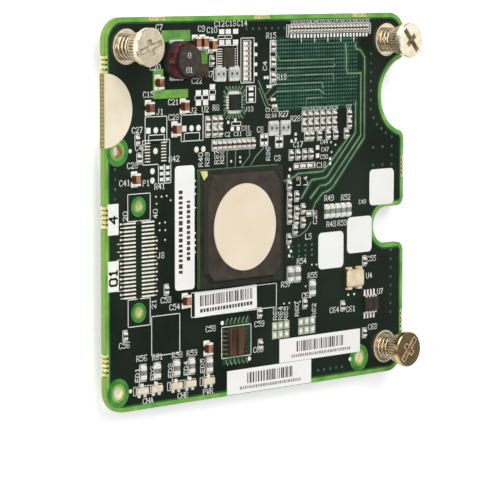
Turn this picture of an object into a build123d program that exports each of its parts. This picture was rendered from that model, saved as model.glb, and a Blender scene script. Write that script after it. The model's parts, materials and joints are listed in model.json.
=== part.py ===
from build123d import *
from math import cos, pi, sin
import os

# Fibre channel host bus adapter, a mezzanine card for a server. Sizes in millimetres.
# The card lies component side up. X runs along its long edge, Y along its short edge.
# The tips of the three captive screws stand on Z = 0 and the board is centred on the origin.

# Board
board_length = 113.0
board_width = 100.3
board_thickness = 1.6
corner_radius = 6.0
notch_radius = 10.3
notch_offset = 0.8
notch_row = 27.3
slot_width = 10.3
slot_depth = 12.5
slot_row = -8.75
mouth_radius = 2.5
tab_length = 6.0
tab_depth = 0.45
left_tab_rows = (37.7, 0.0, -37.5)
top_tab_columns = (-38.3, -0.2, 38.0)
right_tab_rows = (7.2, -36.0)

# Layout grid over the board: places below are counted in its columns and rows from the board's centre
layout_column_count = 113
layout_row_count = 100

# Holes in the board
tooling_radius = 1.6
tooling_inset_left = 4.3
tooling_inset_right = 18.0
tooling_inset_bottom = 5.05
tooling_high_row = 16.4
peg_radius = 1.0
peg_column = -45.0
peg_rows = (2.1, -25.0)

# Captive screws
screw_inset_left = 7.0
screw_inset_right = 7.9
screw_inset_top = 7.35
screw_inset_bottom = 7.25
thread_radius = 1.5
thread_length = 4.1
tip_chamfer = 0.4
neck_radius = 1.15
stop_gap = 0.1
flange_radius = 4.55
flange_height = 0.6
foot_radius = 2.7
press_gap = 0.02
bore_radius = 1.35
spring_radius = 3.12
spring_wire = 0.55
spring_height = 4.0
spring_turns = 2.5
spring_bend_count = 14
washer_radius = 3.42
washer_height = 0.3
washer_gap = 0.05
running_gap = 0.15
barrel_radius = 3.5
barrel_height = 3.3
knurl_count = 20
knurl_depth = 0.25
head_radius = 4.9
head_height = 1.4
head_chamfer = 0.25
drive_length = 7.5
drive_width = 1.2
drive_cross = 3.8
drive_depth = 0.8
drive_turn = {"top_left": 19.0, "top_right": -48.0, "bottom_right": 49.0}

# Controller chip
chip_place = (-8.7, -5.3)
base_side = 31.0
base_height = 0.6
ball_height = 0.5
ball_radius = 0.36
ball_count = 7
ball_margin = 1.5
cap_side = 28.4
cap_height = 1.1
cap_slope = 0.7
cap_corner = 2.4
spreader_radius = 11.5
spreader_height = 0.2

# Power inductor and diode
coil_place = (-31.8, 38.9)
drum_base_radius = 4.9
drum_base_height = 1.5
drum_core_radius = 2.0
drum_top_radius = 4.0
drum_top_height = 1.2
winding_radius = 4.5
winding_height = 2.3
coil_foot_length = 4.4
coil_foot_width = 1.4
coil_foot_height = 0.5
coil_foot_overhang = 0.3
diode_gap = 0.8
diode_drop = 2.9
diode_length = 4.4
diode_width = 3.3
diode_height = 2.1
diode_slope = 0.25
diode_lead_length = 1.0
diode_lead_width = 2.0
diode_lead_height = 0.2
diode_lead_rise = 0.9

# Large chip capacitors, long way along Y
big_length = 3.2
big_width = 1.6
big_height = 1.7
big_end = 0.55
big_places = [
    (-38.2, 33.3), (-41.6, 27.0), (-29.3, 27.0), (-32.3, 21.2), (-25.0, 43.2),
    (-22.3, 43.2), (-19.2, 42.5), (-46.5, 9.1), (-20.8, -36.5),
]
big_label_gap = 1.25

# Small chip capacitors
small_length = 1.6
small_width = 0.8
small_height = 0.7
small_upright = [
    (17.0, 17.4), (19.0, 17.4), (22.0, 17.4), (25.5, 17.4), (28.5, 17.4), (32.8, 17.4),
    (34.0, 20.0), (34.0, 22.6), (-20.4, 20.0), (-20.4, 22.7), (-17.9, 20.0), (-17.9, 22.7),
    (-15.8, 20.0), (-15.8, 22.7), (13.2, 1.3), (13.2, -2.7), (15.7, -2.2), (15.7, -5.9), (12.6, -7.7),
    (10.3, 4.5), (10.4, 1.2), (10.3, -1.7), (10.4, -4.6), (10.2, -10.0), (13.0, -5.2),
    (11.0, 12.5), (13.6, 12.5), (16.2, 12.5), (18.7, 12.5), (-35.3, -19.9), (-49.8, -30.5), (-45.4, 19.0),
    (-44.8, 14.3), (-1.0, -29.0), (-0.7, -37.5), (16.5, -28.0), (31.7, -30.0), (40.6, -38.3),
    (40.5, -18.2), (-18.9, 38.4), (3.9, 33.5), (3.9, 37.6), (3.9, 41.6),
]
small_level = [(18.6, -3.6), (13.6, 9.4), (16.4, 9.4), (19.0, 9.4)]
line_columns = (-18.0, -16.2, -14.4, -12.6, -10.8, -9.0, -7.2, -5.4, -3.6)
line_row = 16.4
grid_columns = (16.0, 18.4, 20.8, 23.2, 25.6, 28.0)
grid_rows = (20.0, 22.6)
column_place = (-5.8, 33.4)
column_count = 8
column_pitch = 1.33
row_line = 46.2
row_gap = 3.15
row_count = 24
row_pitch = 1.3
row_length = 1.1
row_width = 0.55
row_height = 0.5

# Chip resistors, long way along Y
resistor_length = 3.2
resistor_width = 1.6
resistor_height = 0.6
resistor_places = [
    (-43.6, -40.6), (-38.6, -40.6), (-31.7, -40.6), (-26.3, -40.6), (-19.8, -41.0),
    (10.8, -19.7), (13.6, -19.7), (19.5, -24.0),
]
bank_columns = (25.0, 27.1, 29.3, 31.5, 33.7)
bank_gap = 0.65
array_length = 3.6
array_width = 3.0
array_height = 0.6
array_places = [(4.0, 20.0), (8.5, 20.0)]
array_columns = (-15.9, -11.0)
array_gap = 0.3

# Chips with gull wing leads
lead_width_share = 0.4
lead_sheet = 0.2
lead_rise = 0.5
foot_share = 0.5
regulator_place = (-13.4, 39.2)
regulator_size = (4.4, 5.0, 1.0)
regulator_span = 6.6
regulator_lead_count = 8
regulator_pitch = 0.62
flash_column = -10.6
flash_size = (6.4, 7.5, 1.4)
flash_span = 9.0
flash_lead_count = 6
flash_pitch = 1.2
memory_place = (42.6, -30.3)
memory_size = (3.9, 4.9, 1.5)
memory_span = 6.0
memory_lead_count = 4
memory_pitch = 1.27
body_lift = 0.1

# Leadless chip
leadless_place = (-10.7, 27.4)
leadless_side = 4.1
leadless_height = 0.85
leadless_pad_count = 5
leadless_pitch = 0.7
leadless_pad_length = 0.9
leadless_pad_width = 0.36
leadless_pad_height = 0.2

# Clock oscillator
clock_place = (35.6, -22.5)
clock_length = 7.0
clock_width = 5.0
clock_height = 1.2
clock_notch = 0.5
lid_margin = 0.45
lid_height = 0.4

# Indicator lights
light_places = [(-44.1, -45.1), (-39.1, -45.1), (-32.1, -45.1), (-27.1, -45.1), (-20.3, -45.1)]
light_length = 3.4
light_width = 1.7
light_height = 1.1
light_lead_length = 0.9
light_lead_width = 0.8
light_lead_height = 0.35

# Labels
label_height = 0.1
label_corner = 0.6
sticker_radius = 9.4
sticker_gap = 2.0
tall_length = 32.3
tall_width = 7.0
tall_gap = 1.0
tall_shift = 0.9
code_width = 6.45
code_left_length = 23.0
code_left_shift = 4.9
code_left_gap = 0.7
code_left_turn = 1.3
code_right_length = 32.1
code_right_end = 38.8
code_low_length = 32.3
code_low_column = 2.95
code_low_inset = 0.15
code_gap = 0.1
square_side = 10.0
square_corner = 1.0
square_gap = 0.6
square_inset = 4.05
square_drop = 2.0
square_step = 11.55
square_fall = 3.5

# Mezzanine connector under the board
plug_place = (21.5, 34.5)
plug_length = 32.0
plug_width = 17.6
plug_height = 3.9
plug_wall = 1.5
plug_floor = 1.3
plug_corner = 1.6
key_width = 3.0
key_depth = 1.2
contact_column_count = 10
contact_row_count = 3
contact_margin = 1.2
contact_length = 0.3
contact_width = 0.8
contact_height = 2.0

# Capacitors under the controller chip
under_column_count = 3
under_row_count = 2
under_pitch = 5.2

# Levels that follow from the sizes above
board_bottom = thread_length + stop_gap
board_top = board_bottom + board_thickness
half_length = board_length / 2
half_width = board_width / 2
spring_bottom = board_top + flange_height
washer_bottom = spring_bottom + spring_height
barrel_bottom = washer_bottom + washer_height + washer_gap
head_bottom = barrel_bottom + barrel_height
head_top = head_bottom + head_height
screw_left_x = screw_inset_left - half_length
screw_right_x = half_length - screw_inset_right
screw_high_y = half_width - screw_inset_top
screw_low_y = screw_inset_bottom - half_width
screw_places = {
    "top_left": (screw_left_x, screw_high_y),
    "top_right": (screw_right_x, screw_high_y),
    "bottom_right": (screw_right_x, screw_low_y),
}
base_bottom = board_top + ball_height
cap_bottom = base_bottom + base_height
cap_top = cap_bottom + cap_height
column_step = board_length / layout_column_count
row_step = board_width / layout_row_count
chip_x = chip_place[0] * column_step
chip_y = chip_place[1] * row_step
coil_x = coil_place[0] * column_step
coil_y = coil_place[1] * row_step
slot_end_x = half_length - slot_depth
slot_y = slot_row * row_step
tooling_high_y = tooling_high_row * row_step
tooling_low_y = tooling_inset_bottom - half_width
sticker_y = screw_high_y - flange_radius - sticker_gap - sticker_radius
tall_x = chip_x - base_side / 2 - tall_gap - tall_width / 2
tall_y = chip_y + tall_shift
code_left_x = chip_x - code_left_shift
code_left_y = chip_y - base_side / 2 - code_left_gap - code_width / 2
code_low_y = code_low_inset + code_width / 2 - half_width
code_right_y = code_low_y + code_width + code_gap
square_x = slot_end_x - square_gap - square_side / 2
square_y = slot_y - square_drop
square_places = [
    (half_length - square_inset - square_side / 2, slot_y + slot_width / 2 + square_gap + square_side / 2),
    (square_x, square_y),
    (square_x - square_step, square_y - square_fall),
]
on_floor = (Align.CENTER, Align.CENTER, Align.MIN)
from_top = (Align.CENTER, Align.CENTER, Align.MAX)


def spot(place):
    return place[0] * column_step, place[1] * row_step


def block(x, y, z, length, width, height):
    return Pos(x, y, z) * Box(length, width, height, align=on_floor)


def rod(z, radius, height):
    return Pos(0, 0, z) * Cylinder(radius, height, align=on_floor)


def circuit_board():
    sheet = fillet(Rectangle(board_length, board_width).vertices(), corner_radius)
    sheet -= Pos(half_length + notch_offset, notch_row * row_step) * Circle(notch_radius)
    slot_centre = slot_end_x + slot_width / 2
    sheet -= Pos(slot_centre, slot_y) * Circle(slot_width / 2)
    sheet -= Pos(slot_centre, slot_y) * Rectangle(slot_depth, slot_width, align=(Align.MIN, Align.CENTER))
    mouths = sheet.vertices().group_by(Axis.X)[-1].sort_by(Axis.Y)[1:-1]
    sheet = fillet(mouths, mouth_radius)
    for row in left_tab_rows:
        sheet -= Pos(-half_length, row * row_step) * Rectangle(2 * tab_depth, tab_length)
    for column in top_tab_columns:
        sheet -= Pos(column * column_step, half_width) * Rectangle(tab_length, 2 * tab_depth)
    for row in right_tab_rows:
        sheet -= Pos(half_length, row * row_step) * Rectangle(2 * tab_depth, tab_length)
    for x, y in screw_places.values():
        sheet -= Pos(x, y) * Circle(foot_radius + press_gap)
    for x, y in tooling_places():
        sheet -= Pos(x, y) * Circle(tooling_radius)
    for row in peg_rows:
        x, y = spot((peg_column, row))
        sheet -= Pos(x, y) * Circle(peg_radius)
    return Pos(0, 0, board_bottom) * extrude(sheet, board_thickness)


def tooling_places():
    left = tooling_inset_left - half_length
    return [(left, tooling_high_y), (left, tooling_low_y), (half_length - tooling_inset_right, tooling_low_y)]


def retainer():
    body = rod(board_top, flange_radius, flange_height)
    body += rod(board_bottom, foot_radius, board_thickness)
    body -= rod(board_bottom, bore_radius, board_thickness + flange_height)
    return body


def spring():
    rise = spring_height - spring_wire
    count = round(spring_turns * spring_bend_count)
    points = []
    for i in range(count + 1):
        angle = 2 * pi * i / spring_bend_count
        points.append((spring_radius * cos(angle), spring_radius * sin(angle), rise * i / count))
    path = Polyline(*points)
    wire = Plane(origin=path @ 0, x_dir=(1, 0, 0), z_dir=path % 0) * RegularPolygon(spring_wire / 2, 6)
    coil = sweep(wire, path=path, transition=Transition.RIGHT)
    return Pos(0, 0, spring_bottom + spring_wire / 2) * coil


def washer():
    ring = rod(washer_bottom, washer_radius, washer_height)
    return ring - rod(washer_bottom, neck_radius + running_gap, washer_height)


def knurled_barrel():
    points = []
    for i in range(2 * knurl_count):
        reach = barrel_radius - knurl_depth * (i % 2)
        angle = pi * i / knurl_count
        points.append((reach * cos(angle), reach * sin(angle)))
    outline = make_face(Polyline(*points, close=True))
    return Pos(0, 0, barrel_bottom) * extrude(outline, barrel_height)


def thumbscrew(turn):
    body = rod(0, thread_radius, thread_length)
    body = chamfer(body.edges().group_by(Axis.Z)[0], tip_chamfer)
    body += rod(thread_length, neck_radius, barrel_bottom - thread_length)
    head = rod(head_bottom, head_radius, head_height)
    head = chamfer(head.edges().group_by(Axis.Z)[-1], head_chamfer)
    body += knurled_barrel() + head
    for length, angle in ((drive_length, turn), (drive_cross, turn + 90)):
        cut = Box(length, drive_width, drive_depth, align=from_top)
        body -= Pos(0, 0, head_top) * Rot(0, 0, angle) * cut
    return body


def chip_base():
    return block(chip_x, chip_y, base_bottom, base_side, base_side, base_height)


def chip_cap():
    foot = chamfer(Rectangle(cap_side, cap_side).vertices(), cap_corner)
    top_side = cap_side - 2 * cap_slope
    top = chamfer(Rectangle(top_side, top_side).vertices(), cap_corner)
    return loft([Pos(chip_x, chip_y, cap_bottom) * foot, Pos(chip_x, chip_y, cap_top) * top])


def chip_spreader():
    return Pos(chip_x, chip_y) * rod(cap_top, spreader_radius, spreader_height)


def chip_balls():
    ball = extrude(RegularPolygon(ball_radius, 4), ball_height)
    reach = base_side / 2 - ball_margin
    steps = [(2 * i / (ball_count - 1) - 1) * reach for i in range(ball_count)]
    spots = [(s, e) for s in steps for e in (-reach, reach)]
    spots += [(e, s) for s in steps[1:-1] for e in (-reach, reach)]
    return [Pos(chip_x + x, chip_y + y, board_top) * ball for x, y in spots]


def drum_core():
    base = rod(board_top + coil_foot_height, drum_base_radius, drum_base_height)
    low = board_top + coil_foot_height + drum_base_height
    core = rod(low, drum_core_radius, winding_height)
    top = rod(low + winding_height, drum_top_radius, drum_top_height)
    return Pos(coil_x, coil_y) * (base + core + top)


def drum_winding():
    low = board_top + coil_foot_height + drum_base_height
    ring = rod(low, winding_radius, winding_height) - rod(low, drum_core_radius, winding_height)
    return Pos(coil_x, coil_y) * ring


def coil_feet():
    offset = drum_base_radius - coil_foot_width / 2 + coil_foot_overhang
    return [
        block(coil_x, coil_y + side * offset, board_top, coil_foot_length, coil_foot_width, coil_foot_height)
        for side in (-1, 1)
    ]


def moulded_body(length, width, height, lift, slope):
    middle = Rectangle(length, width)
    end = Rectangle(length - 2 * slope, width - 2 * slope)
    low = loft([Pos(0, 0, lift) * end, Pos(0, 0, (lift + height) / 2) * middle])
    high = loft([Pos(0, 0, (lift + height) / 2) * middle, Pos(0, 0, height) * end])
    return low + high


def diode_spot():
    return coil_x + drum_base_radius + diode_gap + diode_length / 2, coil_y - diode_drop


def diode_body():
    diode_x, diode_y = diode_spot()
    body = moulded_body(diode_length, diode_width, diode_height, body_lift, diode_slope)
    return Pos(diode_x, diode_y, board_top) * body


def diode_leads():
    leads = []
    diode_x, diode_y = diode_spot()
    for side in (-1, 1):
        reach = diode_length / 2
        foot = block(reach, 0, 0, diode_lead_length, diode_lead_width, body_lift)
        wall = block(reach + diode_lead_height / 2, 0, 0, diode_lead_height, diode_lead_width, diode_lead_rise)
        lead = Pos(diode_x, diode_y, board_top) * Rot(0, 0, 0 if side > 0 else 180) * (foot + wall)
        leads.append(lead)
    return leads


def big_spots():
    below_label = (tall_x, tall_y - tall_length / 2 - big_label_gap - big_length / 2)
    return [spot(place) for place in big_places] + [below_label]


def big_bodies():
    core = big_length - 2 * big_end
    return [block(x, y, board_top, big_width, core, big_height) for x, y in big_spots()]


def big_ends():
    offset = (big_length - big_end) / 2
    return [
        block(x, y + side * offset, board_top, big_width, big_end, big_height)
        for x, y in big_spots() for side in (-1, 1)
    ]


def small_chips():
    upright = [spot(place) for place in small_upright]
    upright += [spot((column, line_row)) for column in line_columns]
    upright += [spot((column, row)) for column in grid_columns for row in grid_rows]
    chips = [block(x, y, board_top, small_width, small_length, small_height) for x, y in upright]
    x, y = spot(column_place)
    level = [spot(place) for place in small_level] + [(x, y + i * column_pitch) for i in range(column_count)]
    chips += [block(x, y, board_top, small_length, small_width, small_height) for x, y in level]
    row_end = screw_right_x - flange_radius - row_gap
    row_y = row_line * row_step
    chips += [
        block(row_end - i * row_pitch, row_y, board_top, row_width, row_length, row_height)
        for i in range(row_count)
    ]
    return chips


def resistors():
    bank_y = square_y + square_side / 2 + bank_gap + resistor_length / 2
    places = [spot(place) for place in resistor_places]
    places += [(column * column_step, bank_y) for column in bank_columns]
    return [block(x, y, board_top, resistor_width, resistor_length, resistor_height) for x, y in places]


def resistor_arrays():
    low_y = spot(regulator_place)[1] - regulator_size[1] / 2 - array_gap - array_width / 2
    places = [spot(place) for place in array_places]
    places += [(column * column_step, low_y) for column in array_columns]
    return [block(x, y, board_top, array_length, array_width, array_height) for x, y in places]


def flash_spot():
    label_bottom = code_left_y - code_width / 2
    label_top = code_low_y + code_width / 2
    return flash_column * column_step, (label_bottom + label_top) / 2


def lead_chip_body(place, size):
    body = moulded_body(size[0], size[1], size[2], body_lift, size[2] * 0.15)
    return Pos(place[0], place[1], board_top) * body


def turned_chip_body(place, size):
    body = Rot(0, 0, 90) * moulded_body(size[0], size[1], size[2], body_lift, size[2] * 0.15)
    return Pos(place[0], place[1], board_top) * body


def lead_chip_leads(place, size, span, count, pitch, turn):
    reach = span / 2
    wall = size[0] / 2
    shoulder = wall + (reach - wall) * (1 - foot_share)
    height = body_lift + (size[2] - body_lift) * lead_rise
    profile = Polyline(
        (wall, height - lead_sheet / 2), (shoulder - lead_sheet, height - lead_sheet / 2),
        (shoulder - lead_sheet, 0), (reach, 0), (reach, lead_sheet), (shoulder, lead_sheet),
        (shoulder, height + lead_sheet / 2), (wall, height + lead_sheet / 2), close=True,
    )
    width = pitch * lead_width_share
    lead = extrude(Plane.XZ * make_face(profile), width / 2, both=True)
    leads = []
    for side in (0, 180):
        for i in range(count):
            along = (i - (count - 1) / 2) * pitch
            leads.append(Pos(place[0], place[1], board_top) * Rot(0, 0, turn + side) * Pos(0, along, 0) * lead)
    return leads


def leadless_body():
    x, y = spot(leadless_place)
    return block(x, y, board_top, leadless_side, leadless_side, leadless_height)


def leadless_lands():
    land = block(
        (leadless_side + leadless_pad_length) / 2, 0, 0,
        leadless_pad_length, leadless_pad_width, leadless_pad_height,
    )
    lands = []
    for turn in (0, 90, 180, 270):
        for i in range(leadless_pad_count):
            along = (i - (leadless_pad_count - 1) / 2) * leadless_pitch
            x, y = spot(leadless_place)
            lands.append(Pos(x, y, board_top) * Rot(0, 0, turn) * Pos(0, along, 0) * land)
    return lands


def clock_base():
    x, y = spot(clock_place)
    sheet = Rectangle(clock_length, clock_width)
    for sx in (-1, 1):
        for sy in (-1, 1):
            sheet -= Pos(sx * clock_length / 2, sy * clock_width / 2) * Circle(clock_notch)
    return Pos(x, y, board_top) * extrude(sheet, clock_height)


def clock_lid():
    x, y = spot(clock_place)
    sheet = Rectangle(clock_length - 2 * lid_margin, clock_width - 2 * lid_margin)
    sheet = chamfer(sheet.vertices(), clock_notch)
    return Pos(x, y, board_top + clock_height) * extrude(sheet, lid_height)


def lights():
    body = moulded_body(light_length, light_width, light_height, 0, light_height * 0.12)
    return [Pos(x, y, board_top) * body for x, y in map(spot, light_places)]


def light_leads():
    leads = []
    offset = (light_width + light_lead_length) / 2
    for x, y in map(spot, light_places):
        for dx, dy in ((0, offset), (-light_length * 0.3, -offset), (light_length * 0.3, -offset)):
            lead = block(x + dx, y + dy, board_top, light_lead_width, light_lead_length, light_lead_height)
            leads.append(lead)
    return leads


def label(x, y, length, width, turn=0.0):
    sheet = Rot(0, 0, turn) * Rectangle(length, width)
    return Pos(x, y, board_top) * extrude(sheet, label_height)


def tall_label():
    sheet = chamfer(Rectangle(tall_width, tall_length).vertices(), label_corner)
    return Pos(tall_x, tall_y, board_top) * extrude(sheet, label_height)


def square_labels():
    sheet = chamfer(Rectangle(square_side, square_side).vertices(), square_corner)
    return [Pos(x, y, board_top) * extrude(sheet, label_height) for x, y in square_places]


def folded_sticker():
    reach = sticker_radius + label_height
    wrap = Box(2 * reach, 2 * reach, board_thickness + 2 * label_height)
    inside = Pos(reach, 0, 0) * Box(2 * reach, 2 * reach, board_thickness)
    shape = (wrap - inside) & Cylinder(sticker_radius, 2 * reach)
    keep = Pos(reach - label_height, 0, 0) * Box(2 * reach, 2 * reach, 2 * reach)
    return Pos(-half_length, sticker_y, (board_top + board_bottom) / 2) * (shape & keep)


def plug_housing():
    sheet = chamfer(Rectangle(plug_length, plug_width).vertices().sort_by(Axis.X)[:1], plug_corner)
    body = extrude(sheet, plug_height)
    well_depth = plug_height - plug_floor
    body -= Box(plug_length - 2 * plug_wall, plug_width - 2 * plug_wall, well_depth, align=on_floor)
    for side in (-1, 1):
        key = Box(2 * plug_wall, key_width, key_depth, align=on_floor)
        body -= Pos(side * plug_length / 2, 0, 0) * key
    x, y = spot(plug_place)
    return Pos(x, y, board_bottom - plug_height) * body


def plug_contacts():
    contacts = []
    low = board_bottom - plug_floor - contact_height
    plug_x, plug_y = spot(plug_place)
    reach_x = plug_length / 2 - plug_wall - contact_margin
    reach_y = plug_width / 2 - plug_wall - contact_margin
    for i in range(contact_column_count):
        for j in range(contact_row_count):
            x = plug_x + (2 * i / (contact_column_count - 1) - 1) * reach_x
            y = plug_y + (2 * j / (contact_row_count - 1) - 1) * reach_y
            contacts.append(block(x, y, low, contact_length, contact_width, contact_height))
    return contacts


def under_chips():
    chips = []
    for i in range(under_column_count):
        for j in range(under_row_count):
            x = chip_x + (i - (under_column_count - 1) / 2) * under_pitch
            y = chip_y + (j - (under_row_count - 1) / 2) * under_pitch
            chips.append(block(x, y, board_bottom - small_height, small_length, small_width, small_height))
    return chips


# Every node of the card
nodes = {
    "circuit_board": circuit_board(),
    "controller_base": chip_base(),
    "controller_cap": chip_cap(),
    "controller_heat_spreader": chip_spreader(),
    "controller_solder_balls": chip_balls(),
    "inductor_core": drum_core(),
    "inductor_winding": drum_winding(),
    "inductor_terminals": coil_feet(),
    "diode_body": diode_body(),
    "diode_leads": diode_leads(),
    "large_capacitor_bodies": big_bodies(),
    "large_capacitor_ends": big_ends(),
    "small_capacitors": small_chips(),
    "chip_resistors": resistors(),
    "resistor_arrays": resistor_arrays(),
    "regulator_body": lead_chip_body(spot(regulator_place), regulator_size),
    "regulator_leads": lead_chip_leads(
        spot(regulator_place), regulator_size, regulator_span, regulator_lead_count, regulator_pitch, 0,
    ),
    "flash_body": lead_chip_body(flash_spot(), flash_size),
    "flash_leads": lead_chip_leads(flash_spot(), flash_size, flash_span, flash_lead_count, flash_pitch, 0),
    "memory_body": turned_chip_body(spot(memory_place), memory_size),
    "memory_leads": lead_chip_leads(
        spot(memory_place), memory_size, memory_span, memory_lead_count, memory_pitch, 90,
    ),
    "leadless_chip_body": leadless_body(),
    "leadless_chip_lands": leadless_lands(),
    "oscillator_base": clock_base(),
    "oscillator_lid": clock_lid(),
    "indicator_lights": lights(),
    "indicator_light_leads": light_leads(),
    "folded_sticker": folded_sticker(),
    "tall_label": tall_label(),
    "bar_code_label_left": label(code_left_x, code_left_y, code_left_length, code_width, code_left_turn),
    "bar_code_label_right": label(
        code_right_end * column_step - code_right_length / 2, code_right_y, code_right_length, code_width,
    ),
    "bar_code_label_low": label(code_low_column * column_step, code_low_y, code_low_length, code_width),
    "square_labels": square_labels(),
    "mezzanine_connector_housing": plug_housing(),
    "mezzanine_connector_contacts": plug_contacts(),
    "underside_capacitors": under_chips(),
}
for side, (x, y) in screw_places.items():
    nodes["screw_retainer_" + side] = Pos(x, y) * retainer()
    nodes["screw_spring_" + side] = Pos(x, y) * spring()
    nodes["screw_washer_" + side] = Pos(x, y) * washer()
    nodes["thumbscrew_" + side] = Pos(x, y) * thumbscrew(drive_turn[side])

os.makedirs("parts", exist_ok=True)
for name, shape in nodes.items():
    solids = shape if isinstance(shape, list) else [shape]
    export_step(Compound(label=name, children=solids), "parts/" + name + ".step")
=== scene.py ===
import bpy
import json
import math
import numpy as np
from mathutils import Matrix, Vector


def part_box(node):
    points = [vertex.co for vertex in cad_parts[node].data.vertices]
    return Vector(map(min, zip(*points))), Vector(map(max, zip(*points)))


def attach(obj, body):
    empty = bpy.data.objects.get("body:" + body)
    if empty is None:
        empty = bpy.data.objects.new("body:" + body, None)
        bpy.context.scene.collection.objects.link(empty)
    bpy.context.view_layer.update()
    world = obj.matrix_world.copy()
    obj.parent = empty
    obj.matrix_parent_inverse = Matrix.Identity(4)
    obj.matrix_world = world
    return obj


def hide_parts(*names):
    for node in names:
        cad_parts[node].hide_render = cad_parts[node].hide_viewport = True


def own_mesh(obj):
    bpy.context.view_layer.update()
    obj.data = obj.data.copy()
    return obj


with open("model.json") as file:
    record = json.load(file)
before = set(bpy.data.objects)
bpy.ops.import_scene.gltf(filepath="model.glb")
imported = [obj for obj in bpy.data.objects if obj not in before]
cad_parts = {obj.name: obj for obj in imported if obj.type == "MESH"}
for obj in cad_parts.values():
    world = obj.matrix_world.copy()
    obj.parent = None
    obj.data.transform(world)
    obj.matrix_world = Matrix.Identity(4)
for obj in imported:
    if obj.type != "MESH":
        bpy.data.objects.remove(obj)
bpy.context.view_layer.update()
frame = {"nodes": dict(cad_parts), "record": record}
print("frame loaded:", len(frame["nodes"]), "nodes")

mm = 0.001
sink = 0.01                                        # how far a flat piece reaches into what carries it, in mm
screwSides = ("top_left", "top_right", "bottom_right")


# lowest corner, highest corner and middle of a CAD node's box, in mm
def boxOf(nodeName):
    low, high = [np.array(corner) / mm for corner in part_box(nodeName)]
    return low, high, (low + high) / 2


boardLow, boardHigh = boxOf("circuit_board")[:2]
boardBack, boardFace = boardLow[2], boardHigh[2]   # heights of the underside and the component side
boardHalf = boardHigh[:2]
rowStep = 2 * boardHalf[1] / 100                   # the layout's rows are a hundredth of the board's width


# low and high faces of a flat piece on the component side
def onBoard(rise):
    return boardFace - sink, boardFace + rise


# every pairing of places across and places up
def pairs(across, up):
    return [(x, y) for x in across for y in up]


# finishes

# colour from 0-255 screen values to linear light, by the screen's two-part curve
def ink(red, green, blue):
    part = np.array([red, green, blue]) / 255
    line = np.where(part < 0.04045, part / 12.92, ((part + 0.055) / 1.055) ** 2.4)
    return (*line.tolist(), 1.0)


# adds a node with its properties, then joins each socket to (node, output) or sets it to a plain value
def putNode(tree, kind, joins=None, **values):
    node = tree.nodes.new(kind)
    for key, value in values.items():
        setattr(node, key, value)
    for socket, source in (joins or {}).items():
        if isinstance(source, tuple) and hasattr(source[0], "outputs"):
            tree.links.new(source[0].outputs[source[1]], node.inputs[socket])
        else:
            node.inputs[socket].default_value = source
    return node


# a ramp from a dark tone to a light one, between two levels of what drives it
def twoTones(tree, driver, dark, light, spread=(0.0, 1.0)):
    ramp = putNode(tree, "ShaderNodeValToRGB", {"Fac": driver})
    for end, level, tone in zip(ramp.color_ramp.elements, spread, (dark, light)):
        end.position = level
        end.color = ink(*tone)
    return ramp


# colour runs between two tones by a noise; roughness and the lift of the surface follow a finer noise
def noiseFinish(name, dark, light, grain=400, fine=4000, rough=(0.4, 0.6), metal=0.0, gloss=0.5,
                lift=0.1, depth=0.00003, stretch=(1, 1, 1), spread=(0.35, 0.65)):
    material = bpy.data.materials.new(name)
    material.use_nodes = True
    tree = material.node_tree
    shader = tree.nodes["Principled BSDF"]
    place = putNode(tree, "ShaderNodeTexCoord")
    drawn = putNode(tree, "ShaderNodeMapping", {"Vector": (place, "Object"), "Scale": stretch})
    coarse = putNode(tree, "ShaderNodeTexNoise", {"Vector": (drawn, "Vector"), "Scale": grain, "Detail": 4.0})
    small = putNode(tree, "ShaderNodeTexNoise", {"Vector": (drawn, "Vector"), "Scale": fine, "Detail": 3.0})
    tone = twoTones(tree, (coarse, "Fac"), dark, light, spread)
    matt = putNode(tree, "ShaderNodeMapRange", {"Value": (small, "Fac"), "To Min": rough[0],
                                                "To Max": rough[1]})
    bump = putNode(tree, "ShaderNodeBump", {"Height": (small, "Fac"), "Strength": lift, "Distance": depth})
    tree.links.new(tone.outputs["Color"], shader.inputs["Base Color"])
    tree.links.new(matt.outputs["Result"], shader.inputs["Roughness"])
    tree.links.new(bump.outputs["Normal"], shader.inputs["Normal"])
    shader.inputs["Metallic"].default_value = metal
    shader.inputs["Specular IOR Level"].default_value = gloss
    return material


# where the surface's own direction along an axis is under a limit, a finish takes two other tones in waves
def facingMix(material, axis, limit, dark, light, waves, direction, signed=False):
    tree = material.node_tree
    shader = tree.nodes["Principled BSDF"]
    first = shader.inputs["Base Color"].links[0].from_socket
    place = putNode(tree, "ShaderNodeTexCoord")
    facing = (putNode(tree, "ShaderNodeSeparateXYZ", {"Vector": (place, "Normal")}), axis)
    if not signed:
        facing = (putNode(tree, "ShaderNodeMath", {0: facing}, operation="ABSOLUTE"), "Value")
    where = putNode(tree, "ShaderNodeMath", {0: facing, 1: limit}, operation="LESS_THAN")
    wave = putNode(tree, "ShaderNodeTexWave", {"Vector": (place, "Object"), "Scale": waves, "Distortion": 2.0,
                                               "Detail": 3.0}, bands_direction=direction)
    mix = putNode(tree, "ShaderNodeMix", {0: (where, "Value")}, data_type="RGBA")
    tree.links.new(first, mix.inputs[6])
    tree.links.new(twoTones(tree, (wave, "Fac"), dark, light).outputs["Color"], mix.inputs[7])
    tree.links.new(mix.outputs[2], shader.inputs["Base Color"])
    return material


# a finish whose upright sides carry their own two tones, in waves along a direction
def sidedFinish(top, dark, light, waves=600.0, direction="Z"):
    return facingMix(top, "Z", 0.5, dark, light, waves, direction)


# the controller's cap: brown moulding compound, with the bevels that face left and down in dark shade
def capFinish():
    mould = noiseFinish("mouldCompound", (58, 51, 43), (74, 66, 56), grain=260, **moulded)
    for axis in "XY":
        facingMix(mould, axis, -0.4, (20, 21, 14), (34, 34, 24), 300.0, "X", signed=True)
    return mould


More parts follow.
